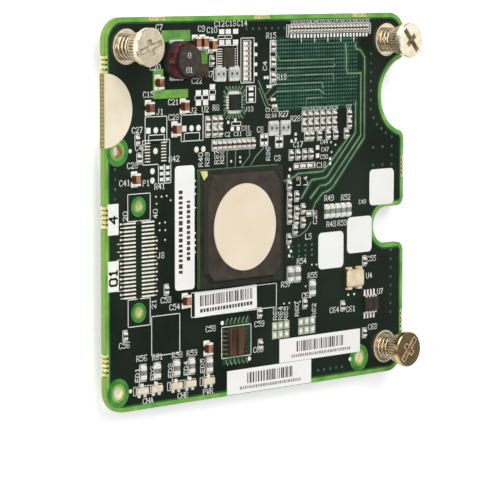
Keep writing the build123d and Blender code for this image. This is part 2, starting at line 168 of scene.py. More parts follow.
# values that several finishes share
moulded = {"fine": 6000, "rough": (0.5, 0.7), "gloss": 0.3, "lift": 0.25}
paper = {"fine": 5000, "gloss": 0.25, "lift": 0.12}
inked = {"fine": 5000, "rough": (0.6, 0.8), "gloss": 0.2}
plated = {"grain": 500, "fine": 2600, "rough": (0.16, 0.25), "lift": 0.06}
# shared settings of the painted shade and painted highlights on the drive edges and flange rims
paintedLightShared = {"grain": 900, "rough": (0.3, 0.45), "metal": 0.2}

finishes = {
    "solder_mask": sidedFinish(
        noiseFinish("solderMask", (15, 25, 18), (33, 46, 35), grain=45, fine=900, rough=(0.38, 0.55),
                    gloss=0.16, lift=0.05, spread=(0.3, 0.7)), (104, 134, 56), (144, 174, 86), 1900.0),
    "laminate": sidedFinish(noiseFinish("chipLaminate", (24, 30, 18), (44, 48, 28), grain=300),
                            (44, 70, 38), (74, 100, 56), 1500.0),
    "mould": capFinish(),
    "chip_black": noiseFinish("chipBlack", (34, 33, 33), (56, 53, 51), grain=500, fine=7000, rough=(0.5, 0.7),
                              gloss=0.3, lift=0.25),
    "nickel": noiseFinish("mattNickel", (244, 227, 200), (251, 237, 214), grain=70, fine=3000,
                          rough=(0.4, 0.55), lift=0.12),
    "screw_steel": noiseFinish("turnedNickel", (220, 205, 176), (238, 225, 200), metal=0.92,
                               stretch=(1, 1, 5), **plated),
    "spring_steel": noiseFinish("springWire", (192, 172, 144), (230, 216, 190), grain=900, rough=(0.14, 0.26),
                                metal=0.9),
    "solder": noiseFinish("tinnedEnds", (240, 236, 222), (255, 252, 244), grain=1500, rough=(0.3, 0.5),
                          metal=0.05, lift=0.2),
    "ferrite": sidedFinish(
        noiseFinish("ferrite", (50, 45, 41), (76, 68, 60), grain=700, fine=5000, rough=(0.45, 0.7), gloss=0.4,
                    lift=0.35), (20, 22, 20), (44, 46, 42)),
    "copper": noiseFinish("lacqueredCopper", (50, 10, 12), (112, 26, 26), grain=700, rough=(0.12, 0.22),
                          metal=0.25),
    # large capacitors: brown ceramic on top, with painted shade on the upright sides
    "brown_ceramic": sidedFinish(
        noiseFinish("brownCeramicPaintedSideShade", (122, 74, 47), (188, 136, 100), grain=500, lift=0.15),
        (58, 26, 12), (96, 50, 26)),
    "beige_ceramic": noiseFinish("beigeCeramic", (46, 33, 23), (102, 75, 50), grain=800, lift=0.15),
    "resistor_body": noiseFinish("resistorGlaze", (118, 124, 114), (160, 164, 152), grain=900,
                                 rough=(0.3, 0.45)),
    "gold_lid": noiseFinish("goldLid", (238, 218, 176), (254, 243, 216), grain=500, rough=(0.3, 0.45),
                            metal=0.1),
    "cream_lens": noiseFinish("creamLens", (228, 216, 182), (246, 238, 214), grain=600, rough=(0.3, 0.45)),
    # cream paper, with painted olive shade on its upright edges
    "cream_paper": sidedFinish(
        noiseFinish("creamPaperPaintedEdgeShade", (238, 226, 200), (248, 238, 214), grain=120, rough=(0.6, 0.8), **paper),
        (118, 114, 66), (146, 140, 88), 300.0, "Y"),
    "white_paper": noiseFinish("whitePaper", (251, 250, 246), (255, 255, 253), grain=110, rough=(0.55, 0.75),
                               **paper),
    "plug_plastic": noiseFinish("plugPlastic", (26, 26, 28), (42, 42, 44), grain=300),
    "contact_gold": noiseFinish("contactGold", (190, 146, 62), (224, 184, 96), grain=900, rough=(0.2, 0.35),
                                metal=1.0),
}

# bare laminate, copper under lacquer, pads and print
borderGreen = noiseFinish("bareBorder", (96, 162, 64), (138, 194, 90), grain=160, fine=2600, gloss=0.25)
shadeGreen = noiseFinish("borderShade", (34, 84, 42), (54, 112, 54), grain=160, fine=2600, gloss=0.2)
stubYellow = noiseFinish("brokenLaminate", (186, 178, 96), (236, 228, 164), grain=1200, fine=3600, lift=0.4,
                         depth=0.00006, gloss=0.2)
ringGreen = noiseFinish("bareRing", (52, 122, 52), (88, 156, 70), grain=300, fine=2600, gloss=0.25)
innerGreen = noiseFinish("bareRingInner", (112, 164, 74), (156, 196, 104), grain=500, fine=2600, gloss=0.3)
# walls of the holes: copper-brown plating darkened with painted shade, and a pale copy of it with painted
# light
liningGold = noiseFinish("holeLiningPaintedShade", (112, 78, 30), (172, 128, 58), grain=900, rough=(0.3, 0.5), metal=0.2)
liningPaintedLight = noiseFinish("paintedLightLining", (214, 196, 120), (246, 238, 186), grain=900, rough=(0.3, 0.5))
# dark discs where holes are: painted shade
holeShade = noiseFinish("drilledHolePaintedShade", (36, 40, 16), (66, 64, 28), grain=900, gloss=0.2)
pourGreen = noiseFinish("copperPour", (96, 152, 66), (128, 184, 88), grain=240, fine=2200, gloss=0.25)
channelGreen = noiseFinish("copperFreeChannel", (24, 54, 34), (38, 74, 46), grain=260, fine=2200, gloss=0.2)
traceGreen = noiseFinish("coveredTrace", (104, 134, 98), (146, 168, 134), grain=260, fine=2200, gloss=0.25)
fieldTeal = noiseFinish("viaFieldGround", (10, 38, 28), (21, 58, 41), grain=120, fine=2200, gloss=0.18)
viaTeal = noiseFinish("viaLand", (58, 104, 88), (98, 146, 126), grain=300, fine=2200, gloss=0.3)
padTin = noiseFinish("tinnedPad", (240, 238, 226), (255, 253, 246), grain=900, rough=(0.35, 0.55))
padCream = noiseFinish("creamPad", (236, 232, 210), (254, 251, 236), grain=700)
padDull = noiseFinish("dullPad", (164, 172, 146), (204, 210, 186), grain=700, rough=(0.45, 0.65))
printWhite = noiseFinish("whitePrint", (244, 246, 236), (255, 255, 250), grain=500, fine=4500,
                         rough=(0.6, 0.8), gloss=0.2, lift=0.2)
barInk = noiseFinish("barInk", (52, 44, 42), (86, 76, 72), grain=1500, **inked)
dashInk = noiseFinish("dashInk", (128, 122, 118), (176, 170, 166), grain=1500, **inked)
digitInk = noiseFinish("digitInk", (24, 22, 24), (52, 48, 48), grain=900, **inked)
markGold = noiseFinish("cornerGold", (222, 214, 120), (246, 240, 164), grain=900, rough=(0.35, 0.5))

# nodes whose finish differs from the rest of their slot
# lit and shaded copies of the screws' nickel: a darker bronze one with painted reflection for the
# bottom-right screw, a paler one with painted light for the top-right screw
nickelPaintedDarkReflection = noiseFinish("nickelPaintedDarkReflection", (190, 160, 112), (214, 186, 138), metal=0.92, **plated)
nickelPaintedLight = noiseFinish("nickelPaintedLight", (238, 225, 198), (250, 240, 218), metal=0.85, **plated)
ownFinish = {
    "regulator_body": finishes["mould"],
    "flash_body": noiseFinish("flashMould", (38, 29, 20), (100, 76, 50), grain=1000, stretch=(1, 0.06, 1),
                              spread=(0.42, 0.6), **moulded),
    "memory_body": noiseFinish("memoryMould", (46, 38, 33), (74, 62, 54), grain=500, **moulded),
    "flash_leads": noiseFinish("dullLeads", (84, 80, 68), (140, 134, 116), grain=1200, rough=(0.35, 0.5),
                               metal=0.4),
    "resistor_arrays": noiseFinish("arrayGlaze", (168, 172, 166), (212, 213, 206), grain=700,
                                   rough=(0.3, 0.45)),
    "leadless_chip_body": noiseFinish("leadlessMould", (22, 30, 27), (38, 46, 41), grain=500, fine=6000,
                                      gloss=0.3, lift=0.2),
    # the clock's ceramic base: cream on top, with painted shade on its upright sides
    "oscillator_base": sidedFinish(
        noiseFinish("clockCeramicPaintedSideShade", (206, 182, 140), (232, 212, 174), grain=500, rough=(0.4, 0.55)),
        (36, 30, 24), (62, 52, 40)),
    "diode_body": noiseFinish("diodeMould", (54, 47, 32), (80, 70, 48), grain=500, fine=6000, gloss=0.3,
                              lift=0.2),
    "thumbscrew_top_right": nickelPaintedLight,
    "thumbscrew_bottom_right": nickelPaintedDarkReflection,
}

for row in frame["record"]["subparts"]:
    node = frame["nodes"][row["node"]]
    node.material_slots[0].material = ownFinish.get(row["node"], finishes[row["material_slot"]])
print("finishes on", len(frame["nodes"]), "nodes")


# shapes: each gives (points in mm, list of face arrays)

# points of a circle of radius one, anticlockwise
def circle(sides):
    angle = np.arange(sides) * 2 * np.pi / sides
    return np.stack([np.cos(angle), np.sin(angle)], -1)


# flat points with their heights put beside them, as one list
def raised(flat, heights):
    z = np.broadcast_to(np.asarray(heights, float)[..., None], (*flat.shape[:-1], 1))
    return np.concatenate([flat, z], -1).reshape(-1, 3)


# faces of a grid of points, row after row: each joins two neighbours round to the same two in the next row
def gridFaces(rowCount, around, closed=True):
    row, turn = np.meshgrid(np.arange(rowCount if closed else rowCount - 1), np.arange(around), indexing="ij")
    nextRow, nextTurn = (row + 1) % rowCount, (turn + 1) % around
    corners = [row * around + turn, nextRow * around + turn, nextRow * around + nextTurn,
               row * around + nextTurn]
    return np.stack(corners, -1).reshape(-1, 4)


# boxes from rows of middle x, middle y, length, width, turn: eight corner signs, scaled, turned and moved
def plates(rows, low, high):
    rows = np.asarray(rows, float).reshape(-1, 5)
    count = len(rows)
    signs = np.array([[-1, -1, 0], [1, -1, 0], [1, 1, 0], [-1, 1, 0], [-1, -1, 1], [1, -1, 1], [1, 1, 1],
                      [-1, 1, 1]])
    across = signs[None, :, 0] * rows[:, None, 2] / 2
    along = signs[None, :, 1] * rows[:, None, 3] / 2
    turn = np.radians(rows[:, 4])[:, None]
    x = rows[:, None, 0] + across * np.cos(turn) - along * np.sin(turn)
    y = rows[:, None, 1] + across * np.sin(turn) + along * np.cos(turn)
    low = np.broadcast_to(np.asarray(low, float).reshape(-1, 1), (count, 1))
    high = np.broadcast_to(np.asarray(high, float).reshape(-1, 1), (count, 1))
    z = low + signs[None, :, 2] * (high - low)
    sides = np.array([[3, 2, 1, 0], [4, 5, 6, 7], [0, 1, 5, 4], [1, 2, 6, 5], [2, 3, 7, 6], [3, 0, 4, 7]])
    faces = (np.arange(count) * 8)[:, None, None] + sides[None]
    return np.stack([x, y, z], -1).reshape(-1, 3), [faces.reshape(-1, 4)]


# rings from rows of middle x, middle y, outer and inner radius: a square profile carried round a circle
def rings(rows, low, high, sides=12):
    rows = np.asarray(rows, float).reshape(-1, 4)
    radius = rows[:, [2, 2, 3, 3]][:, None, :, None]
    flat = rows[:, None, None, :2] + radius * circle(sides)[None, :, None]
    faces = (np.arange(len(rows)) * sides * 4)[:, None, None] + gridFaces(sides, 4)[None]
    return raised(flat, [low, high, high, low]), [faces.reshape(-1, 4)]


# upright prisms on anticlockwise outlines: each outline at two heights, a wall between them and two lids
def prisms(outlines, low, high):
    outlines = np.asarray(outlines, float)
    count, corners = outlines.shape[:2]
    step = np.arange(corners)
    wall = gridFaces(2, corners, closed=False)[:, ::-1]
    lids = np.stack([step[::-1], step + corners])
    starts = (np.arange(count) * 2 * corners)[:, None, None]
    flat = np.repeat(outlines[:, None], 2, axis=1)
    faces = [(starts + wall[None]).reshape(-1, 4), (starts + lids[None]).reshape(-1, corners)]
    return raised(flat, [[low], [high]]), faces


# round dots from rows of middle x, middle y, radius: prisms on circles
def dots(rows, low, high, sides=12):
    rows = np.asarray(rows, float)
    return prisms(rows[:, None, :2] + rows[:, None, 2:] * circle(sides)[None], low, high)


# corner points of a rectangle with round corners: four quarter circles, joined anticlockwise
def roundRectangle(middle, size, radius, steps=6):
    quarter = np.linspace(0, np.pi / 2, steps)
    angle = (np.arange(4)[:, None] * np.pi / 2 + quarter[None]).ravel()
    signs = np.repeat(np.array([[1, 1], [-1, 1], [-1, -1], [1, -1]]), steps, axis=0)
    inner = np.asarray(size) / 2 - radius
    return np.asarray(middle) + signs * inner + radius * np.stack([np.cos(angle), np.sin(angle)], -1)


# mitred sideways directions of a path: the mean of two runs' normals over the cosine of their half-angle
def pathNormals(path):
    runs = np.diff(path, axis=0)
    runs = runs / np.linalg.norm(runs, axis=1)[:, None]
    before = np.vstack([runs[:1], runs])
    after = np.vstack([runs, runs[-1:]])
    middle = before + after
    middle = middle / np.linalg.norm(middle, axis=1)[:, None]
    stretch = 1 / np.clip((middle * before).sum(1), 0.4, 1)
    return np.stack([-middle[:, 1], middle[:, 0]], -1) * stretch[:, None]


# a flat strip: a rectangle carried along a path, with closed ends
def strip(path, width, low, high):
    path = np.asarray(path, float)
    aside = pathNormals(path) * width / 2
    flat = np.stack([path - aside, path + aside, path + aside, path - aside], 1)
    step, last = np.arange(4), (len(path) - 1) * 4
    ends = np.stack([step[::-1], step + last])
    return raised(flat, [low, low, high, high]), [gridFaces(len(path), 4, closed=False)[:, ::-1], ends]


# a closed profile of radius and height turned about an upright axis through a place
def turned(place, radius, height, sides=48):
    flat = place + radius[None, :, None] * circle(sides)[:, None]
    return raised(flat, height), [gridFaces(sides, len(radius))]


# a ring whose outer radius goes tip, tip, root, root round the circle, so that the teeth have flat tops
def gearRing(place, teeth, tip, root, inner, low, high):
    count = teeth * 4
    outer = np.where(np.arange(count) % 4 < 2, tip, root)
    bore = np.full(count, inner)
    radius = np.stack([outer, outer, bore, bore], -1)
    flat = place + radius[..., None] * circle(count)[:, None]
    return raised(flat, [low, high, high, low]), [gridFaces(count, 4)]


# a round wire along a path: a circle square to the path, in the plane of the outward and upward directions
def wire(path, outward, radius, sides=10):
    ahead = np.gradient(path, axis=0)
    ahead = ahead / np.linalg.norm(ahead, axis=1)[:, None]
    upward = np.cross(ahead, outward)
    spokes = circle(sides)[None]
    rim = outward[:, None] * spokes[..., :1] + upward[:, None] * spokes[..., 1:]
    step, last = np.arange(sides), (len(path) - 1) * sides
    lids = np.stack([step[::-1], step + last])
    walls = gridFaces(len(path), sides, closed=False)[:, ::-1]
    return (path[:, None] + radius * rim).reshape(-1, 3), [walls, lids]


# joins shapes into one piece in metres, which rides on a body
def addPiece(name, shapes, material, body="card", smooth=False):
    points, faces, start = [], [], 0
    for shapePoints, shapeFaces in shapes:
        points.append(shapePoints)
        faces += [row for group in shapeFaces for row in (group + start).tolist()]
        start += len(shapePoints)
    mesh = bpy.data.meshes.new(name)
    mesh.from_pydata((np.concatenate(points) * mm).tolist(), [], faces)
    mesh.polygons.foreach_set("use_smooth", np.full(len(faces), smooth))
    mesh.materials.append(material)
    piece = bpy.data.objects.new(name, mesh)
    bpy.context.scene.collection.objects.link(piece)
    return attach(piece, body)


# lowest and highest corners of every solid in a CAD node, in mm: corners at one place count as one, and
# each triangle gives its lowest label to its corners until nothing changes
def solidBoxes(nodeName):
    mesh = frame["nodes"][nodeName].data
    points = np.zeros(len(mesh.vertices) * 3)
    mesh.vertices.foreach_get("co", points)
    points = points.reshape(-1, 3) / mm
    mesh.calc_loop_triangles()
    corners = np.zeros(len(mesh.loop_triangles) * 3, int)
    mesh.loop_triangles.foreach_get("vertices", corners)
    places, same = np.unique(np.round(points, 3), axis=0, return_inverse=True)
    corners = same.reshape(-1)[corners].reshape(-1, 3)
    label, before = np.arange(len(places)), None
    while before is None or (before != label).any():
        before = label.copy()
        np.minimum.at(label, corners.reshape(-1), np.repeat(label[corners].min(1), 3))
    kinds = np.unique(label)
    low = np.array([places[label == kind].min(0) for kind in kinds])
    high = np.array([places[label == kind].max(0) for kind in kinds])
    return low, high


# bare border of the board

border = {"inner": 1.15, "outer": 0.05, "shade": 1.62, "tabOuter": 0.52, "rise": 0.02, "corner": 6.0,
          "mouth": 2.5, "notch": (57.3, 27.3 * rowStep, 10.3), "slot": (49.15, -8.75 * rowStep, 5.15),
          "tab": 6.0, "tabStep": 0.02, "leftTabs": (37.7, 0.0, -37.5), "topTabs": (-38.3, -0.2, 38.0),
          "rightTabs": (7.2, -36.0), "arcStep": 6.0, "fewestPoints": 5}

# places of the break-off tabs on the board's edges, each with its inward direction
tabEnds = [(-boardHalf[0], row * rowStep, 1, 0) for row in border["leftTabs"]]
tabEnds += [(column, boardHalf[1], 0, -1) for column in border["topTabs"]]
tabEnds += [(boardHalf[0], row * rowStep, -1, 0) for row in border["rightTabs"]]


# outline points and inward normals: straight runs and arcs in turn, every joint tangent
def boardOutline():
    halfX, halfY = boardHalf
    corner, mouth = border["corner"], border["mouth"]
    notchX, notchY, notchR = border["notch"]
    slotX, slotY, slotR = border["slot"]
    mouthX = halfX - mouth
    reach = math.sqrt((notchR + mouth) ** 2 - (notchX - mouthX) ** 2)
    swing = math.degrees(math.atan2(reach, notchX - mouthX))
    arcs = [
        (halfX - corner, corner - halfY, corner, -90, 0),
        (mouthX, slotY - slotR - mouth, mouth, 0, 90),
        (slotX, slotY, slotR, -90, -270),
        (mouthX, slotY + slotR + mouth, mouth, -90, 0),
        (mouthX, notchY - reach, mouth, 0, swing),
        (notchX, notchY, notchR, swing - 180, -180 - swing),
        (mouthX, notchY + reach, mouth, -swing, 0),
        (halfX - corner, halfY - corner, corner, 0, 90),
        (corner - halfX, halfY - corner, corner, 90, 180),
        (corner - halfX, corner - halfY, corner, 180, 270),
    ]
    points, normals = [], []
    for x, y, radius, start, end in arcs:
        count = max(border["fewestPoints"], int(abs(end - start) / border["arcStep"]))
        angle = np.radians(np.linspace(start, end, count))
        spoke = np.stack([np.cos(angle), np.sin(angle)], -1)
        points.append(np.array([x, y]) + radius * spoke)
        normals.append(spoke if end < start else -spoke)
    return np.concatenate(points), np.concatenate(normals)


# order of places along the outline: distance along the run of the plain outline that lies nearest
def outlineOrder(places, outline):
    run = np.roll(outline, -1, axis=0) - outline
    length = np.linalg.norm(run, axis=1)
    safe = np.maximum(length, 1e-9)
    share = np.clip(((places[:, None] - outline[None]) * run[None]).sum(-1) / safe[None] ** 2, 0, 1)
    gap = np.linalg.norm(outline[None] + share[..., None] * run[None] - places[:, None], axis=-1)
    nearest = gap.argmin(1)
    travelled = np.concatenate([[0], np.cumsum(length)[:-1]])
    along = travelled[nearest] + share[np.arange(len(places)), nearest] * length[nearest]
    along[:len(outline)] = travelled
    return np.argsort(along, kind="stable")


# a band along the outline between two insets: four more points at each tab let its outer edge step in there
def borderBand(outerEdge, tabEdge, innerEdge, low, high):
    points, normals = boardOutline()
    half, hair = border["tab"] / 2, border["tabStep"]
    steps = np.array([-half - hair, -half, half, half + hair])
    tabs = np.array(tabEnds)
    along = np.abs(tabs[:, [3, 2]])
    tabPoints = tabs[:, None, :2] + along[:, None] * steps[None, :, None]
    places = np.concatenate([points, tabPoints.reshape(-1, 2)])
    inward = np.concatenate([normals, np.repeat(tabs[:, 2:], 4, axis=0)])
    edge = np.full(len(places), outerEdge, float)
    edge[len(points):] = np.tile([outerEdge, tabEdge, tabEdge, outerEdge], len(tabs))
    order = outlineOrder(places, points)
    places, inward, edge = places[order], inward[order], edge[order]
    outer = places + inward * edge[:, None]
    inner = places + inward * innerEdge
    flat = np.stack([outer, inner, inner, outer], 1)
    return raised(flat, [low, low, high, high]), [gridFaces(len(flat), 4)[:, ::-1]]


# insets of the bare border and of the shaded line inside it
bareEdges = (border["outer"], border["tabOuter"], border["inner"])
shadeEdges = (border["inner"], border["inner"], border["shade"])
addPiece("bareBorder", [borderBand(*bareEdges, *onBoard(border["rise"]))], borderGreen)
addPiece("borderShade", [borderBand(*shadeEdges, *onBoard(border["rise"]))], shadeGreen)

# what is left of each break-off tab: a row of broken teeth, a rim in the recess and, between the teeth, dark
# discs of painted shade for the drillings
stubs = {"pitch": 1.2, "teeth": 5, "tooth": (0.56, 0.72), "toothRise": 0.01, "drill": 0.31, "drillIn": 0.66,
         "drillRise": 0.07, "rim": 0.46, "rimShort": 0.1, "rimRise": 0.05}
teethAlong = (np.arange(stubs["teeth"]) - (stubs["teeth"] - 1) / 2) * stubs["pitch"]
drillsAlong = (teethAlong[1:] + teethAlong[:-1]) / 2
deep, wide = stubs["tooth"]
rimIn = border["tabOuter"] + stubs["rim"] / 2
teethRows, rimRows, drillRows = [], [], []
for x, y, inX, inY in tabEnds:
    turn = 0 if inX else 90
    teethRows += [(x + inX * deep / 2 + abs(inY) * t, y + inY * deep / 2 + abs(inX) * t, deep, wide, turn)
                  for t in teethAlong]
    rimRows.append((x + inX * rimIn, y + inY * rimIn, stubs["rim"], border["tab"] - stubs["rimShort"], turn))
    drillRows += [(x + inX * stubs["drillIn"], y + t, stubs["drill"]) for t in drillsAlong if inX]
addPiece("tabTeeth", [plates(teethRows, boardBack, boardFace + stubs["toothRise"]),
                      plates(rimRows, *onBoard(stubs["rimRise"]))], stubYellow)
addPiece("tabPerforations", [dots(drillRows, *onBoard(stubs["drillRise"]))], holeShade)
print("border done")

# bare rings round the tooling and peg holes: radii of the ring, its pale rim and the bore
holeRings = {"tooling": [(-52.2, 16.4 * rowStep), (-52.2, -45.1), (38.5, -45.1)],
             "toolingRadii": (3.75, 2.35, 1.62), "peg": [(-45, 2.1 * rowStep), (-45, -25 * rowStep)],
             "pegRadii": (2.6, 1.6, 1.02), "rise": 0.025, "lining": 0.1, "liningLap": 0.005, "sides": 36}
ringRows, innerRows, liningRows = [], [], []
for kind in ("tooling", "peg"):
    outer, rim, bore = holeRings[kind + "Radii"]
    for x, y in holeRings[kind]:
        ringRows.append((x, y, outer, bore))
        innerRows.append((x, y, rim, bore))
        liningRows.append((x, y, bore + holeRings["liningLap"], bore - holeRings["lining"]))
ringRise, ringSides = holeRings["rise"], holeRings["sides"]
addPiece("bareHoleRings", [rings(ringRows, *onBoard(ringRise), ringSides)], ringGreen)
addPiece("bareHoleRims", [rings(innerRows, *onBoard(2 * ringRise), ringSides)], innerGreen)
# linings of the bores: the upper-left one darkened with painted shade, the others pale with painted light
for name, rows, finish in (("holeLiningPaintedShade", liningRows[:1], liningGold),
                           ("holeLiningsPaintedLight", liningRows[1:], liningPaintedLight)):
    addPiece(name, [rings(rows, boardBack, boardFace + ringRise, ringSides)], finish)

# copper pours near the inductor, covered by thin lacquer
pours = {"rise": 0.015, "plates": [(-31.7, 45.2, 10.2, 2.9, 0), (-33.55, 30.4, 12.3, 2.2, 0),
                                   (-38.0, 34.2, 3.6, 5.4, 0), (-21.6, 39.8, 2.4, 4.0, 0)]}
addPiece("copperPours", [plates(pours["plates"], *onBoard(pours["rise"]))], pourGreen)

# covered traces: four wide runs in channels, single runs, a frame round the controller and fans at two chips
traces = {"mainWidth": 0.42, "width": 0.3, "frame": 0.2, "rise": 0.02, "channel": 1.6, "channelRise": 0.012,
          "groundRise": 0.008, "fanEnd": 0.26, "fanEndRise": 0.03}
mainRuns = [
    [(36.4, 42), (36.6, 40.6), (38.6, 40), (40.2, 38), (40.2, 16), (27.5, 3), (25.5, 2), (23.5, 1.6),
     (20.5, -1), (19.5, -3)],
    [(32.4, 42), (32.8, 39), (32.8, 35), (33.3, 33.8), (38.7, 33.8), (38.7, 16.6), (26.3, 4.4), (24.8, 3.8),
     (22.3, 3.6), (18.5, 0.3)],
    [(36.6, 26), (36.6, 17.5), (25.6, 6.4), (24.7, 5.8), (19, 5.4), (15, 0.5)],
    [(34.5, 17), (33.4, 16), (25.5, 9), (23.5, 7.5), (13.8, 7.4), (12.4, 6.7), (8.2, 5.6)],
]
singleRuns = [
    [(-13.2, 15), (-13.2, 10.3)], [(-10, 15), (-10.2, 10.3)], [(-4.8, 15), (-4.8, 13), (-8, 10.3)],
    [(0.5, 15), (-2.5, 12.8), (-4.5, 10.5)], [(11, -9.8), (14.5, -9.4), (17.4, -8), (19, -6)],
    [(5.6, 39.6), (6.6, 37.9), (28, 37.9)], [(5.6, 35.9), (28, 35.9), (28, 36.6)],
    [(8, 33.9), (27.5, 33.9), (27.8, 32)], [(1, 29), (4.5, 31.7), (23, 31.7), (23.6, 30)],
    [(2, 27.6), (5.5, 29.8), (22, 29.8), (24, 28.6)], [(16.8, 25.4), (17, 27.6), (23.5, 27.6)],
    [(-1.6, 33), (2.2, 26.4), (6, 25.4)], [(-1.4, 31), (1.2, 26), (3, 25)],
]
frameRun = [(-24.0, -20.6), (-24.0, 10.3), (5.6, 10.3), (6.9, 9.0), (6.9, -20.6)]
grounds = [(-10.5, 27.4, 7.6, 8.0, 0), (-9.7, -35.9, 10.4, 11.6, 0)]
channels = [strip(run, traces["channel"], *onBoard(traces["channelRise"])) for run in mainRuns]
channels.append(plates(grounds, *onBoard(traces["groundRise"])))
addPiece("traceChannels", channels, channelGreen)

# fans: six runs spread from each side of the leadless chip, six bend away from each row of the flash chip
fanSteps = np.arange(6) - 2.5
leadlessFan = {"middle": (-10.5, 27.4), "spread": (0.7, 0.9, 1.2), "up": (2.6, 3.4, 4.1),
               "across": (2.5, 3.2, 3.8)}
flashFan = {"x": -9.7, "pitch": 1.5, "bend": (0, 0, 0.5),
            "rows": ((-31.2, -30.3, -29.7), (-40.4, -41.2, -41.8))}
fanX, fanY = leadlessFan["middle"]
spread = leadlessFan["spread"]
fans = []
for t in fanSteps:
    for side in (-1, 1):
        fans.append([(fanX + s * t, fanY + side * up) for s, up in zip(spread, leadlessFan["up"])])
        fans.append([(fanX + side * out, fanY + s * t) for s, out in zip(spread, leadlessFan["across"])])
    for heights in flashFan["rows"]:
        x = flashFan["x"] + flashFan["pitch"] * t
        fans.append([(x + bend, y) for bend, y in zip(flashFan["bend"], heights)])
widths = {"mainWidth": mainRuns, "width": singleRuns + fans, "frame": [frameRun]}
traceShapes = [strip(run, traces[key], *onBoard(traces["rise"]))
               for key, runs in widths.items() for run in runs]
fanEnds = [(*run[-1], traces["fanEnd"]) for run in fans]
traceShapes.append(dots(fanEnds, *onBoard(traces["fanEndRise"]), 8))
addPiece("coveredTraces", traceShapes, traceGreen)

# field of vias over the underside connector: an even grid of small rings on a teal ground
viaField = {"from": (5.8, 25.3), "pitch": (1.0, 1.06), "count": (32, 18), "ring": (0.29, 0.1), "rise": 0.018,
            "ground": (21.6, 34.4, 34.0, 20.0), "groundRise": 0.006}
columns, rows = np.meshgrid(*[np.arange(count) for count in viaField["count"]], indexing="ij")
gridSteps = np.stack([columns.ravel(), rows.ravel()], -1)
viaPlaces = np.array(viaField["from"]) + gridSteps * np.array(viaField["pitch"])
viaRows = np.hstack([viaPlaces, np.broadcast_to(np.array(viaField["ring"]), viaPlaces.shape)])
addPiece("viaFieldGround", [plates([(*viaField["ground"], 0)], *onBoard(viaField["groundRise"]))], fieldTeal)
addPiece("viaField", [rings(viaRows, *onBoard(viaField["rise"]), 8)], viaTeal)

# rows of single vias along the edges and between the chips
viaDots = {"ring": (0.34, 0.14), "rise": 0.022}
viaPlaces = pairs([42.8], np.arange(39, 23, -2.55)) + pairs([51.6], (15.7, 13.1, 10.6, 8.1))
viaPlaces += pairs((43.9, 47.8), (13.1, 8.1)) + [(44, 21.3), (45.4, 19.4), (47.2, 18.2), (49.1, 16.9)]
viaPlaces += pairs([51.5], np.arange(-16, -36, -2.5)) + pairs([-53], np.arange(12, 4, -2.5))
viaPlaces += pairs(np.arange(-6, 9, 2.4), [46.6]) + pairs(np.arange(22, 34, 2.4), [-47])
viaPlaces += pairs((11.7, 14.2, 16.8, 19.3), (-12.2, -13.6, -15.0)) + pairs((8.0, 10.4, 12.8), [-28.6])
viaRows = [(x, y, *viaDots["ring"]) for x, y in viaPlaces]
addPiece("viaDots", [rings(viaRows, *onBoard(viaDots["rise"]), 10)], viaTeal)

# bare round dots: test points, aiming dots beside the tooling holes and small open vias, by radius
testDots = {
    0.8: [(-39, 16), (-40.1, 10.9), (-40.1, 8.5), (-24.4, 15.7), (-21.9, 15.7)],
    0.55: [(-47.8, 16.4), (-48, -45), (34.8, -45.2)],
    0.26: [(-38.9, 4.3), (-36.9, 4.2), (-35.1, 4.3), (-33.7, 3.1), (-38.7, 2.5), (-37.6, -2.6), (-35.7, -2.5),
           (-37.6, -4.4), (-35.6, -4.5), (-35.7, -7.0), (19.3, -17.7), (21.1, -17.8), (16.9, -23.4),
           (16.7, -25.4)]
    + pairs((8.4, 10.5, 12.6, 14.7), [-27.4]) + pairs([-24.9], (7.6, 6.0, 4.2, 0.6, -6.0, -7.8, -9.2, -11.0)),
}
testRise = 0.04
testRows = [(x, y, radius) for radius, places in testDots.items() for x, y in places]
addPiece("testDots", [dots(testRows, *onBoard(testRise), 14)], padCream)
print("copper done")


# pads

# pads of an empty connector: two columns of narrow plates, with thin tails and dots beside them
emptyPlug = {"count": 20, "pitch": 1.0, "top": -2.0, "columns": ((-50, -46), (-43.9, -39.5)), "width": 0.46,
             "padRise": 0.05, "tailWidth": 0.2, "tailRise": 0.03, "dot": 0.3, "dotRise": 0.04,
             "keys": [(-45.0, -1.9, 0.55), (-45.0, -21.2, 0.55)], "keyRise": 0.03}
plugY = emptyPlug["top"] - np.arange(emptyPlug["count"]) * emptyPlug["pitch"]
padRows = [((first + last) / 2, y, last - first, emptyPlug["width"], 0)
           for first, last in emptyPlug["columns"] for y in plugY]
tails = [(-50.6, 1.4, plugY), (-51.6, 1.6, plugY[[5, 7, 9, 12, 14, 17]]), (-39.2, 1.0, plugY[4:])]
tailRows = [(x, y, length, emptyPlug["tailWidth"], 0) for x, length, places in tails for y in places]
tailEnds = pairs([-51.2], plugY[::2]) + pairs([-38.6], plugY[[5, 7, 11, 13, 15, 18]])
tailDots = [(x, y, emptyPlug["dot"]) for x, y in tailEnds]
addPiece("emptyPlugPads", [plates(padRows, *onBoard(emptyPlug["padRise"])),
                           plates(tailRows, *onBoard(emptyPlug["tailRise"])),
                           dots(tailDots, *onBoard(emptyPlug["dotRise"]), 10)], padCream)
# two dark dots for the connector's holes, in painted shade
addPiece("emptyPlugMiddle", [dots(emptyPlug["keys"], *onBoard(emptyPlug["keyRise"]))], holeShade)

